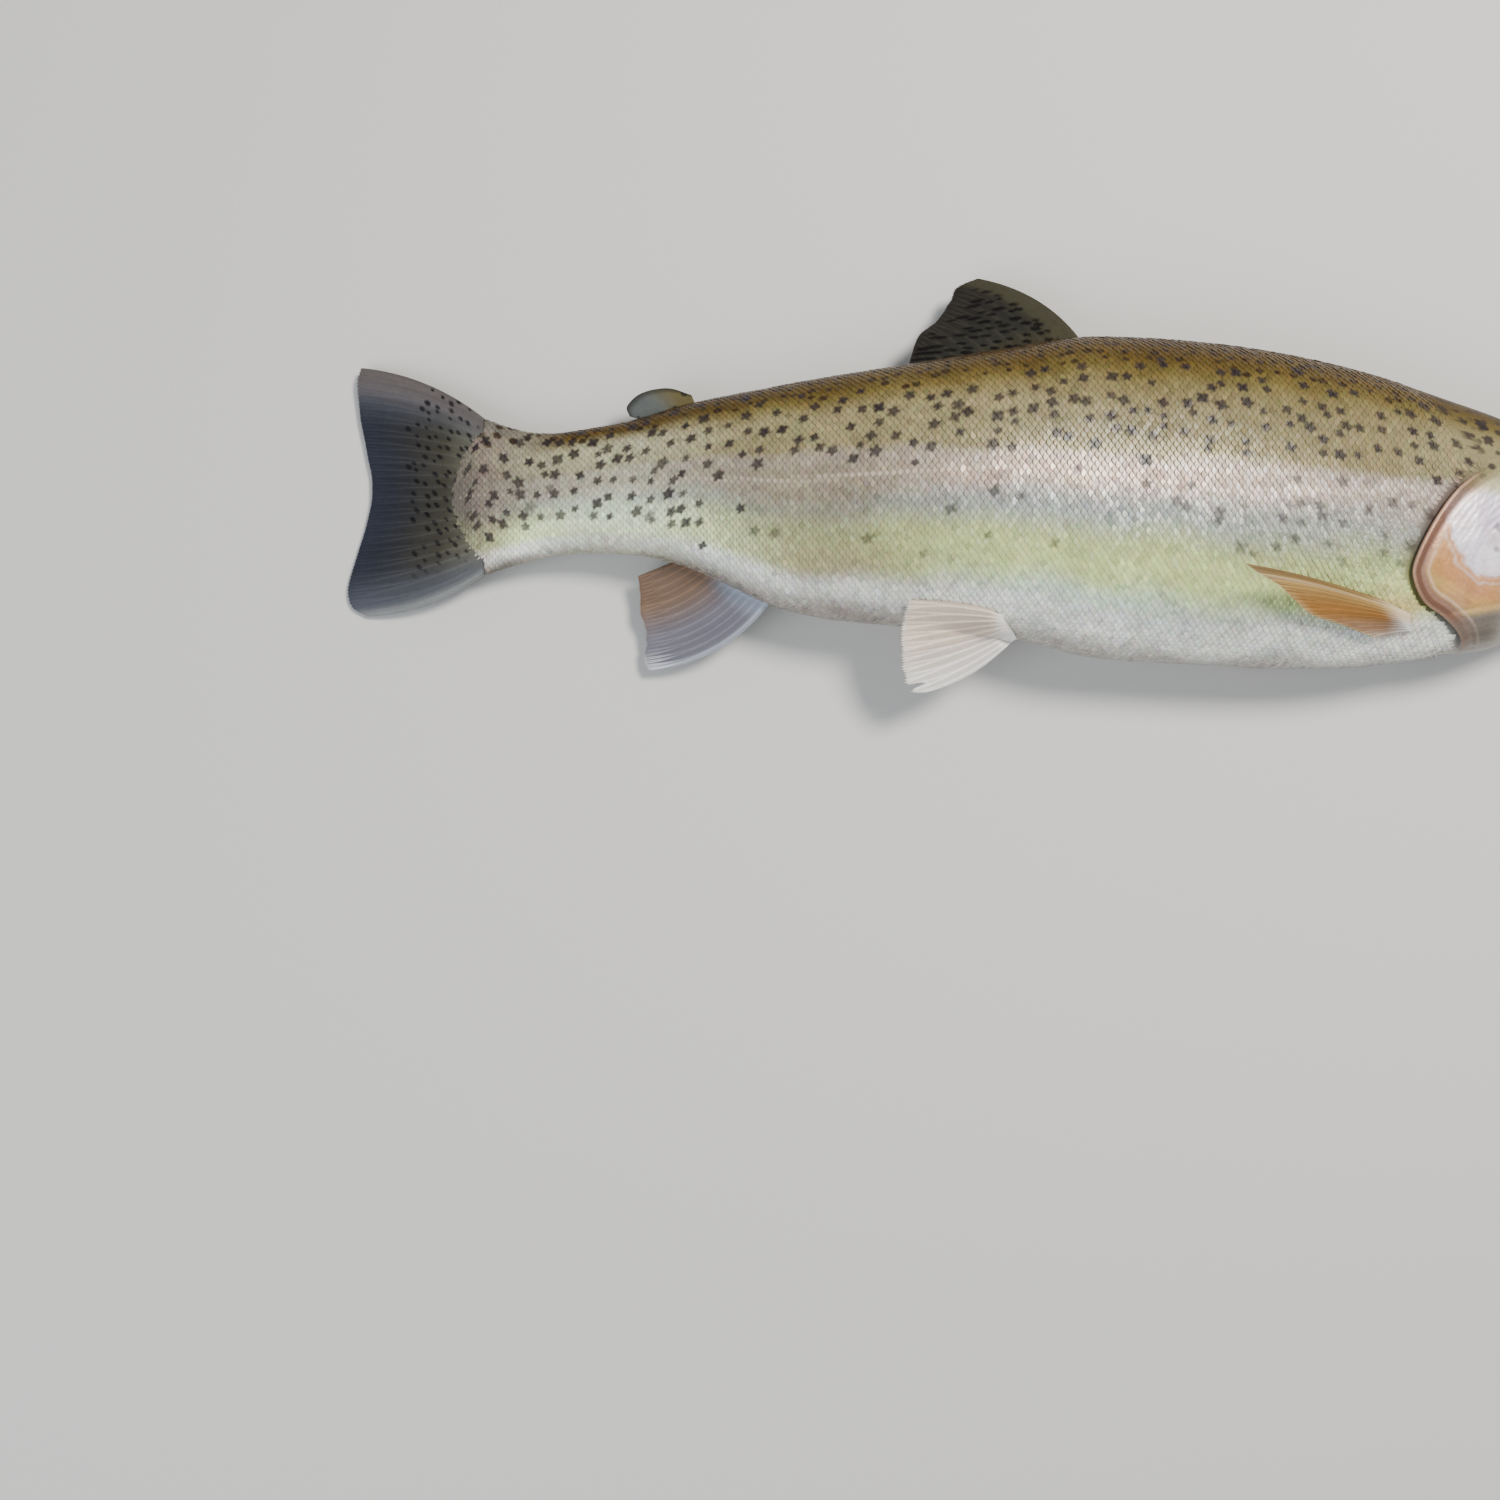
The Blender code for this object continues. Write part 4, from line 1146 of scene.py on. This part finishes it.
def scale_places(side):
    """The rows of scales on one side: where each scale's root lies, its size and its row."""
    found = []
    half_rows = int(WIDEST_HALF_GIRTH / ROW_SPACING)
    for k in range(-half_rows, half_rows + 1):
        behind = np.arange(FIRST_SCALE, BODY_END + TAIL_WEDGE, SCALE_PITCH)
        behind = behind + (k % 2) * SCALE_PITCH / 2
        shrink = 1 - 0.2 * ramp(behind, 230, 150)
        arc = k * ROW_SPACING * shrink
        jitter = rng.uniform(-1, 1, (2, len(behind)))
        behind = behind + jitter[0] * 0.08
        arc = arc + jitter[1] * 0.06
        turn = turn_at(behind, arc)
        edge = np.interp(np.clip(turn, 0, math.pi), EDGE_TURN, EDGE_BEHIND)
        slope = np.interp(np.clip(turn, 0, math.pi), EDGE_TURN, EDGE_SLOPE)
        clear = (behind - edge) / np.hypot(1, slope / 45)
        wedge = np.clip((behind + SCALE_LENGTH - BODY_END) / TAIL_WEDGE, 0, 1)
        centre = BACK(BODY_END) / 2 + BELLY(BODY_END) / 2
        rim = (BACK(BODY_END) - BELLY(BODY_END)) / 2 * np.sqrt(np.maximum(1 - wedge**2, 0))
        y = body(np.minimum(behind, BODY_END), turn)[..., 1]
        kept = (turn > -0.02) & (turn < math.pi + 0.02) & (clear > GILL_CLEARANCE)
        kept &= (wedge <= 0) | (np.abs(y - centre) < rim - TAIL_CLEARANCE)
        kept &= wedge < 0.93
        nape = ramp(turn, TOP_CORNER + 0.15, -0.3)
        size = mixed(0.84 - 0.26 * nape, 1.0, ease((clear - 1.5) / (8 + 8 * nape))) * shrink
        bare = (1 + 0.35 * nape) * (1 - ease((clear - 1.0) / (6 + 12 * nape)))
        row = np.broadcast_arrays(behind, arc, size, bare, k, side)
        found.append(np.stack(row, axis=-1)[kept])
    return np.concatenate(found)


def make_scales(material):
    """All the scales, in strips that run the length of the body."""
    made = []
    places = np.concatenate([scale_places(1.0), scale_places(-1.0)])
    order = np.argsort(places[:, 4] + np.where(places[:, 5] > 0, 0, 1000), kind="stable")
    places = places[order]
    count = len(places)
    behind, arc, size, bare, _, side = (places[:, i][:, None, None] for i in range(6))
    along, height = np.array(SCALE_PROFILE).T[:, None, :, None]
    across = np.array(SCALE_ACROSS)[None, None, :]
    tilt = rng.normal(0, 0.055, (count, 1, 1))
    rise = rng.normal(0, 0.045, (count, 1, 1))
    length = SCALE_LENGTH * size * (1 - 0.40 * across**2 * ease(along * 1.2))
    width = SCALE_HALF_WIDTH * size * mixed(0.92, 1.0, ease(along)) * (1 - 0.16 * along**4)
    s = behind + along * length + tilt * across * 1.5
    a = arc + across * width
    dome = -0.11 * across**2 * ease(along * 1.5)
    lift = height + dome + rise * along + tilt * across - 0.30 * bare
    s, a, lift, side_all = np.broadcast_arrays(s, a, lift, side)
    turn = turn_at(s, a)
    points = on_body(s, turn, lift, side_all)
    colour, shine = coat_colour(s, turn, side_all)
    light = 1 + rng.normal(0, 0.10, (count, 1, 1))
    warm = rng.normal(0, 0.03, (count, 1, 1, 3))
    rim = ramp(along, 0.70, 0.3) * np.ones_like(across) + 0.55 * np.abs(across) ** 3
    # Each scale darker at its rim, and painted shade towards its root, under the scale in front.
    shade = 0.985 - 0.055 * ease(rim) - 0.07 * ramp(along, 0.30, -0.3)
    colour = colour * (shade * light)[..., None] * (1 + warm)
    pale_rim = ramp(level_of(turn), 0.35, -0.25)
    colour = mixed(colour, colour * 1.25, pale_rim * ease(rim) * 0.8)
    line = hump(arc - np.interp(behind, *LATERAL_LINE), 0.85) * ramp(behind, 70, 20)
    mark = line * hump(across, 0.45) * ramp(along, 0.2, 0.3) * ramp(shine, 0.45, 0.4)
    colour = mixed(colour, LINE_CREAM, mark * mixed(0.58, 0.32, ramp(behind, 320, 50)))
    glint = rng.uniform(0, 1, (count, 1, 1)) ** 5 * ramp(along, 0.3, 0.4)
    glint = glint * hump(level_of(turn) - 0.52, 0.2) * hump(behind - 160, 90) * shine
    colour = mixed(colour, GLINT, glint * 0.5)
    shine = shine * (1 + rng.uniform(-0.35, 0.35, (count, 1, 1)))
    root_turn = turn_at(behind, arc)
    girth = np.where(side > 0, root_turn, 2 * math.pi - root_turn) / (2 * math.pi)
    reach = (behind - UV_START) / (BODY_END + TAIL_WEDGE - UV_START)
    u = UV_MARGIN + UV_SPAN * reach + UV_PATCH * (along - 0.5)
    v = UV_MARGIN + UV_SPAN * girth + UV_PATCH / 2 * across
    uv = np.stack(np.broadcast_arrays(u, v), axis=-1)
    each = len(SCALE_PROFILE) * len(SCALE_ACROSS)
    template = grid_quads(len(SCALE_PROFILE), len(SCALE_ACROSS))
    bounds = np.linspace(0, count, STRIPS + 1).astype(int)
    for k, (low, high) in enumerate(zip(bounds, bounds[1:])):
        quads = template[None] + (np.arange(high - low) * each)[:, None, None]
        flip = places[low:high, 5] > 0
        quads = np.where(flip[:, None, None], quads[..., ::-1], quads)
        made.append(made_mesh(f"scales_{k + 1}", points[low:high], quads, material,
                              np.clip(colour[low:high], 0, 1),
                              {"shine": np.clip(shine[low:high], 0, 1).ravel()}, uv[low:high]))
    return made


# ---------------- fins


def resampled(path, count):
    p = np.array(path, float)
    length = np.concatenate([[0], np.cumsum(np.linalg.norm(np.diff(p, axis=0), axis=1))])
    at = np.linspace(0, length[-1], count)
    return np.stack([np.interp(at, length, p[:, k]) for k in range(3)], axis=1)


ROOT_TAPER = 4
ROOT_DIP = 2.6
SOFT_FOLD = 2.4
FLOOR_GAP = 0.06


def fin_rays(phase, out, forks):
    """How much each place is on a ray, for rays that fork on their way out."""
    share = phase - np.floor(phase) - 0.5
    first = 0.25 * ease((out - forks[0]) / (1.0 - forks[0]))
    second = 0.115 * ease((out - forks[1]) / (1.0 - forks[1]))
    nearest = np.abs(np.abs(np.abs(share) - first) - second)
    width = mixed(0.17, 0.07, ease(out))
    return hump(nearest, width)


def make_fin(node, look, paint, base, margin, bows, rays=12, steps=64, thickness=(2.4, 0.34),
             ridge=0.5, forks=(0.45, 0.75), scallop=0.02, over_body=0.0, level=False, wave=0.25,
             notch=None, cells=14):
    """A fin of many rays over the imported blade's own middle surface.

    look is a material. base and margin are the blade's root and its free edge, and
    bows how far its first and last rays bend.
    """
    count = rays * cells + 1
    roots = resampled(base, count)
    ends = resampled(smooth_path(margin, 12), count)
    plane = unit(np.cross(roots[-1] - roots[0], ends[0] - roots[0]))
    u = np.linspace(0, 1, count)[:, None]
    v = np.linspace(0, 1, steps)[None, :] ** 0.9
    phase = u * rays
    ray = fin_rays(phase, v, forks)
    jag = scallop * (1 - fin_rays(phase, np.ones_like(v), forks)) * v**10
    jag = jag + scallop * 0.8 * np.abs(waves(u * 60, u * 0, 91, 1.3)) * v**10
    if notch:
        jag = jag + notch[1] * hump(u - notch[0], notch[2]) * v**4
    out = (v * (1 - jag))[..., None]
    along = (ends - roots)[:, None, :]
    sideways = np.cross(plane, unit(along))
    bow = mixed(bows[0], bows[1], u)[..., None]
    middle = roots[:, None, :] + along * out + sideways * bow * 4 * out * (1 - out)
    if level:
        flat = np.zeros_like(middle) + np.array((0.0, 0.0, 1.0))
    else:
        flat = unit(np.cross(np.gradient(middle, axis=0), np.gradient(middle, axis=1)))
        flat = flat * np.where(flat[..., 2:] < 0, -1, 1)
    ripple = wave * np.sin(phase * math.pi * 2 + 1.0) * v * 0.35
    ripple = ripple + wave * np.sin(u * 9 + v * 2.5) * v
    middle = middle + flat * ripple[..., None]
    if over_body:
        flank = flank_height(middle[..., 0], middle[..., 1])
        rise = middle[..., 2] - flank - over_body
        middle[..., 2] = flank + over_body + (rise + np.sqrt(rise**2 + SOFT_FOLD**2)) / 2
        middle[..., 2] = mixed(flank - ROOT_DIP, middle[..., 2], ease((v + 0.02) / 0.17))
    blade = thickness[1] + (thickness[0] - thickness[1]) * (1 - v) ** ROOT_TAPER
    half = (blade + ridge * ray * mixed(1.0, 0.45, v) * ramp(v, 0.02, 0.16)) / 2
    rim = ramp(v, 1, -0.04) * ease(np.minimum(u, 1 - u) / 0.02)
    half = (half * mixed(0.45, 1.0, rim))[..., None]
    top, bottom = middle + flat * half, middle - flat * half
    sunk = np.maximum(FLOOR_GAP - bottom[..., 2], 0)
    top[..., 2] += sunk
    bottom[..., 2] += sunk
    size = count * steps
    index = np.arange(size).reshape(count, steps)
    loop = np.concatenate([index[0, :-1], index[:-1, -1], index[-1, :0:-1], index[:0:-1, 0]])
    after = np.roll(loop, -1)
    walls = np.stack([loop, after, after + size, loop + size], axis=1)
    face = grid_quads(count, steps)
    if float(np.dot(np.cross(top[1, 0] - top[0, 0], top[0, 1] - top[0, 0]), flat[0, 0])) > 0:
        quads = np.concatenate([face, face[:, ::-1] + size, walls[:, ::-1]])
    else:
        quads = np.concatenate([face[:, ::-1], face + size, walls])
    run = v * np.linalg.norm(ends - roots, axis=1)[:, None]
    width = np.linalg.norm(np.diff(middle, axis=0), axis=-1).sum(axis=0)[None, :]
    colour = paint(u * np.ones_like(v), v * np.ones_like(u), ray, u * width, run)
    own = rng.uniform(-1, 1, rays + 2)[np.floor(phase).astype(int)] * ease(v / 0.3)
    light = 1 + 0.05 * waves(u * 80, v * 40, 13, 5.0) + 0.09 * own
    colour = np.clip(colour * light[..., None], 0, 1)
    numbers = {"ray": np.tile(ray.ravel(), 2), "run": np.tile(run.ravel(), 2)}
    piece = made_mesh(f"{node}_detail", np.stack([top, bottom]), quads, look[0],
                      np.stack([colour] * 2), numbers)
    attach(piece, "root")
    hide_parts(node)


# Each fin's colours over u, from its first ray to its last, and v, from its root to its edge,
# with the share of each place that is ray, and its distances across and up the fin.


def paint_dorsal(u, v, ray, across, up):
    dark = spots(across, up, (4.3, 3.5), (1.5, 0.95), lambda a, b: 0.88 + a * 0, 41, soft=0.45)
    dark = dark * ramp(u, 0.08, 0.06) * ramp(v, 0.93, -0.08)
    return painted(
        banded(((0.0, tone(62, 57, 38)), (0.3, tone(40, 40, 35)), (1.0, tone(30, 27, 25))), v),
        (tone(66, 64, 48), ramp(u, 0.2, -0.12) * 0.7),
        (tone(62, 58, 50), ray * 0.30),
        (tone(9, 7, 7), dark * 0.95),
    )


def paint_adipose(u, v, ray, across, up):
    dark = spots(across, up, (6.0, 5.0), (1.5, 1.2), lambda a, b: 0.5 + a * 0, 42)
    return painted(
        tone(92, 84, 56),
        (tone(82, 86, 84), ramp(u, 0.2, 0.5)),
        (tone(44, 41, 36), ramp(v, 0.76, 0.2) * 0.75),
        (tone(98, 88, 58), ramp(v, 0.25, -0.2) * 0.7),
        (tone(34, 30, 28), dark * 0.85),
    )


def paint_anal(u, v, ray, across, up):
    streaks = ramp(v, 0.72, 0.25) * ramp(u, 0.26, -0.2) * ray
    colour = painted(
        tone(118, 116, 128),
        (tone(124, 99, 80), ramp(u, 0.25, 0.45)),
        (tone(160, 170, 188), ramp(v, 0.24, -0.2) * ramp(u, 0.7, -0.4)),
        (tone(196, 204, 216), ramp(u, 0.07, -0.06) * 0.6),
        (tone(226, 230, 234), streaks * 0.8),
    )
    return mixed(colour, colour * 0.42, (1 - ray) * 0.6 * ease(v / 0.15))


def paint_pelvic(u, v, ray, across, up):
    return painted(
        tone(236, 236, 232),
        (tone(244, 224, 204), ramp(u, 0.15, 0.5)),
        (tone(240, 242, 242), ramp(u, 0.10, -0.07) * 0.8),
        (tone(236, 236, 230), ramp(v, 0.18, -0.15) * 0.7),
        (tone(236, 232, 224), ramp(v, 0.93, 0.06) * 0.6),
        (tone(156, 138, 120), (1 - ray) * 0.52 * ease(v / 0.2)),
    )


def paint_pectoral(u, v, ray, across, up):
    root = mixed(tone(214, 196, 164), tone(200, 198, 196), ramp(u, 0.3, 0.4))
    return painted(
        tone(204, 170, 106),
        (tone(148, 106, 56), ramp(u, 0.12, 0.38)),
        (tone(138, 116, 98), ramp(u, 0.52, 0.32) * 0.85),
        (tone(168, 166, 158), ramp(u, 0.86, 0.12) * 0.6),
        (tone(120, 100, 70), ramp(u, 0.13, -0.08) * 0.6),
        (tone(222, 206, 172), hump(u - 0.15, 0.03) * 0.6),
        (root, np.maximum(ramp(v, 0.30, -0.26), ramp(up, 11, -9)) * 0.95),
        (tone(196, 168, 120), ramp(v, 0.9, 0.1) * 0.5),
        (tone(104, 68, 32), (1 - ray) * 0.5 * ramp(v, 0.1, 0.2)),
    )


def paint_caudal(u, v, ray, across, up):
    bands = ((0.0, tone(108, 105, 90)), (0.12, tone(84, 83, 72)), (0.34, tone(56, 54, 46)),
             (0.66, tone(40, 40, 42)), (0.85, tone(35, 37, 46)), (1.0, tone(36, 39, 49)))
    colour = painted(
        banded(bands, v),
        (tone(74, 77, 86), ramp(abs(u - 0.5), 0.26, 0.2) * 0.75),
        (tone(94, 84, 78), ramp(u, 0.16, -0.14) * 0.6),
        (tone(132, 134, 132), ramp(u, 0.93, 0.06) * 0.6),
    )
    colour = mixed(colour, colour * 1.5, ray * 0.28 * ease(v / 0.2))
    dark = spots(across, up, (3.5, 4.1), (0.85, 1.05), lambda a, b: 0.9 * ramp(b, 33, -10), 43,
                 soft=0.5)
    dark = dark * ramp(u, 0.90, -0.12) * ramp(up, 1.5, 1.5)
    return mixed(colour, tone(12, 11, 14), dark * 0.92)


def make_fins():
    """Every fin, each in place of its imported blade."""
    dark = fin_material("dark_fin_wet", 0.36), "dark_fin"
    pale = fin_material("pale_fin_wet", 0.34), "pale_fin"
    back, belly = sizes(BODY_END)[:2]
    slim = {"wave": 0.1, "ridge": 0.24, "scallop": 0.003, "forks": (0.55, 0.97), "rays": 13}
    make_fin("dorsal_fin", dark, paint_dorsal, ((32, 45.5, 27), (-28, 36.5, 24)),
             ((-3.9, 74, 13), (-11, 71, 12), (-14, 65, 13), (-18.5, 58, 15), (-25, 52, 18),
              (-28.5, 42, 22.5)), (5.5, 0), ridge=0.34, scallop=0.012, wave=0.12)
    make_fin("adipose_fin", dark, paint_adipose, ((-102.5, 26, 20.5), (-118, 21.5, 18)),
             ((-104.6, 31, 19.5), (-113, 33.8, 18), (-122.4, 32.2, 17), (-127.5, 28, 15.5),
              (-126.6, 24.4, 15.5)), (0, 0), rays=6, steps=28, ridge=0.08,
             thickness=(2.6, 0.7), scallop=0.0, wave=0.1)
    make_fin("anal_fin", pale, paint_anal, ((-75.5, -40, 22), (-108, -26, 18)),
             ((-120.8, -64.9, 6), (-122.6, -60.5, 6), (-122, -50.6, 7), (-123.6, -44.6, 8),
              (-123.6, -39, 9), (-124.2, -31.5, 11)), (6.0, 0), rays=13,
             thickness=(4.0, 0.34), ridge=0.42)
    make_fin("pelvic_fin_right", pale, paint_pelvic, ((7, -54.5, 28.5), (1, -47.5, 33)),
             ((-24.5, -73.9, 26), (-29.5, -73, 26), (-31.8, -67.5, 28), (-32.6, -60.1, 31),
              (-32.9, -51.8, 35), (-31.4, -43.2, 41.5)), (3.4, -1.5), rays=10, over_body=0.6,
             notch=(0.16, 0.14, 0.022), scallop=0.03, thickness=(4.2, 0.34), ridge=0.56,
             wave=0.4)
    make_fin("pelvic_fin_left", pale, paint_pelvic, ((8, -51.5, 19), (2, -43, 12)),
             ((-21, -66.5, 1.6), (-26, -65, 1.2), (-28.5, -58, 1), (-28.5, -50, 1),
              (-26, -42, 1.4)), (1.5, 0), rays=10, wave=0.1, ridge=0.4)
    make_fin("pectoral_fin_right", pale, paint_pectoral, ((135.5, -47, 42.5), (137.5, -53.5, 39.5)),
             ((73.5, -34, 70), (79, -36.4, 65.5), (87.6, -40.2, 60.5), (94.2, -44.6, 56),
              (101.2, -49, 52.5), (112, -52, 49.5), (124.7, -56, 46)), (2, 0), steps=80,
             over_body=0.6, thickness=(5.2, 0.4), **{**slim, "wave": 0.25})
    make_fin("pectoral_fin_left", pale, paint_pectoral, ((136, -48, 12), (137.5, -54, 14)),
             ((74, -57, 1.2), (81, -60.5, 1), (93, -63, 1), (106, -63.5, 1.2), (118, -62, 3)),
             (1, 0), **slim)
    make_fin("caudal_fin", dark, paint_caudal,
             ((-178.3, back - 0.4, 12.4), (-178.3, belly + 0.4, 12.4)),
             ((-224.8, 44.4, 4), (-226.2, 38, 3.4), (-224.6, 22, 2.6), (-221, 3, 2.4),
              (-222.6, -10, 2.2), (-226.2, -22, 2), (-229.8, -34, 1.8), (-228.8, -41.5, 1.6),
              (-223, -45.2, 1.6)), (3.6, -3.4), rays=19, steps=80, level=True,
             thickness=(3.4, 0.4), forks=(0.22, 0.55), ridge=0.4, scallop=0.01, wave=0.05,
             cells=16)


# ---------------- eyes


PUPIL = 3.0
EYE_RINGS = 64
EYE_SPOKES = 112
EYE_SWELL = 0.30


def make_eye(side, material):
    """An eye: a low dome with a black pupil drawn out towards the snout in a brassy iris."""
    spoke = np.linspace(0, 2 * math.pi, EYE_SPOKES, endpoint=False)[None, :]
    lift = np.linspace(0, 1, EYE_RINGS)[:, None] ** 0.9 * math.pi * 0.62
    x = np.array(SNOUT_X - EYE_BACK)
    centre = flank_height(x, np.array(EYE_Y)) + EYE_BULGE - EYE_DEPTH
    r = EYE_RADIUS * np.sin(lift)
    px, py = r * np.cos(spoke), r * np.sin(spoke)
    pz = (EYE_DEPTH - EYE_SWELL) * np.cos(lift) + EYE_SWELL * hump(r, 3.6)
    normal = outward(np.array([EYE_BACK]), turn_of_place(x, np.array(EYE_Y))[None])[0]
    pz = pz - normal[0] / normal[2] * px - normal[1] / normal[2] * py
    points = np.stack([x + px, EYE_Y + py, centre + pz], axis=-1)
    if side < 0:
        points[..., 2] = np.maximum(2 * float(MIDDLE(EYE_BACK)) - points[..., 2], 0.3)
    forward = np.minimum(spoke, 2 * math.pi - spoke)
    drawn = PUPIL * (1 + 0.24 * hump(forward, 0.42))
    pupil = ease((drawn - r) / 0.22 + 0.5)
    colour = mixed(IRIS_BRASS, IRIS_OLIVE, ramp(r, 3.2, 2.8) * np.ones_like(spoke))
    streak = 0.5 + 0.5 * np.sin(spoke * 17 + 2.0 * waves(px, py, 62, 1.4))
    mottle = 0.6 * waves(px, py, 61, 0.55) + 0.5 * waves(px, py, 63, 1.5)
    above = ease(py / 5.0 + 0.35)
    dark = ease(mottle * 1.1 + 0.7 * above + 0.3) * ramp(r - drawn, 0.5, 0.8)
    colour = painted(
        mixed(colour, colour * 0.72, streak * ramp(r, drawn, 0.8) * 0.5),
        (IRIS_DARK, dark * 0.85),
        (IRIS_SILVER, ease(0.6 - above - mottle) * ramp(r - drawn, 0.6, 0.8) * 0.22),
        (IRIS_RING, hump(r - drawn - 0.30, 0.22) * 0.8),
        (IRIS_EDGE, ramp(r, 5.5, 0.8) * 0.9 * np.ones_like(spoke)),
        (PUPIL_BLACK, pupil),
    )
    last = EYE_SPOKES - 1
    index = np.arange(EYE_RINGS - 1)[:, None] * EYE_SPOKES
    seam = [index + last, index + EYE_SPOKES + last, index + EYE_SPOKES, index]
    quads = np.concatenate([grid_quads(EYE_RINGS, EYE_SPOKES), np.concatenate(seam, axis=1)])
    node = "eye_right" if side > 0 else "eye_left"
    piece = made_mesh(f"{node}_detail", points, quads if side > 0 else quads[:, ::-1], material,
                      colour, {"shine": ((1 - pupil) * 0.6).ravel()})
    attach(piece, "root")
    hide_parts(node)


# ---------------- scene


FLESH = ("head", "lower_jaw", "throat", "maxilla_right", "maxilla_left", "gill_cover_right",
         "gill_cover_left", "trunk_front", "trunk_middle", "trunk_rear", "tail_stalk")


# In metres.
CAMERA = (-0.0841, -0.0934, 0.565)
HALF_FRAME = 0.2724
LIGHTS_AIM = Vector((0.0, -0.01, 0.02))
FLOOR_REACH = 25.0


def linked(name, data):
    """A new object in the scene."""
    made = bpy.data.objects.new(name, data)
    bpy.context.scene.collection.objects.link(made)
    return made


def make_camera():
    """Straight down from over the rear of the fish, so that the head runs out of the frame."""
    data = bpy.data.cameras.new("camera")
    data.angle = 2 * math.atan(HALF_FRAME / CAMERA[2])
    bpy.context.scene.camera = linked("camera", data)
    bpy.context.scene.camera.location = CAMERA


def make_light(name, place, size, power, colour):
    data = bpy.data.lights.new(name, "AREA")
    data.shape = "DISK"
    data.size = size
    data.energy = power
    data.color = colour
    lamp = linked(name, data)
    lamp.location = place
    lamp.rotation_mode = "QUATERNION"
    lamp.rotation_quaternion = (LIGHTS_AIM - Vector(place)).to_track_quat("-Z", "Y")


def make_studio():
    mesh = bpy.data.meshes.new("floor")
    far = FLOOR_REACH
    corners = ((-far, -far, 0), (far, -far, 0), (far, far, 0), (-far, far, 0))
    mesh.from_pydata(corners, [], [(0, 1, 2, 3)])
    mesh.materials.append(Nodes("floor").finish(Base_Color=(0.62, 0.61, 0.59, 1), Roughness=0.8))
    floor = linked("floor", mesh)
    world = bpy.data.worlds.new("studio")
    world.use_nodes = True
    background = world.node_tree.nodes["Background"]
    background.inputs["Color"].default_value = (0.92, 0.95, 1.0, 1)
    background.inputs["Strength"].default_value = 0.36
    bpy.context.scene.world = world
    make_light("key", (0.50, 0.39, 1.06), 0.34, 20.6, (1.0, 0.96, 0.90))
    make_light("fill", (-0.7, -0.5, 0.9), 1.0, 9.0, (0.88, 0.94, 1.0))


make_camera()
make_studio()
skin = make_skin(skin_material())
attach(skin, "root")
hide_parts(*FLESH)
for strip in make_scales(scale_material()):
    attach(strip, "root")
make_fins()
iris = eye_material()
make_eye(1.0, iris)
make_eye(-1.0, iris)
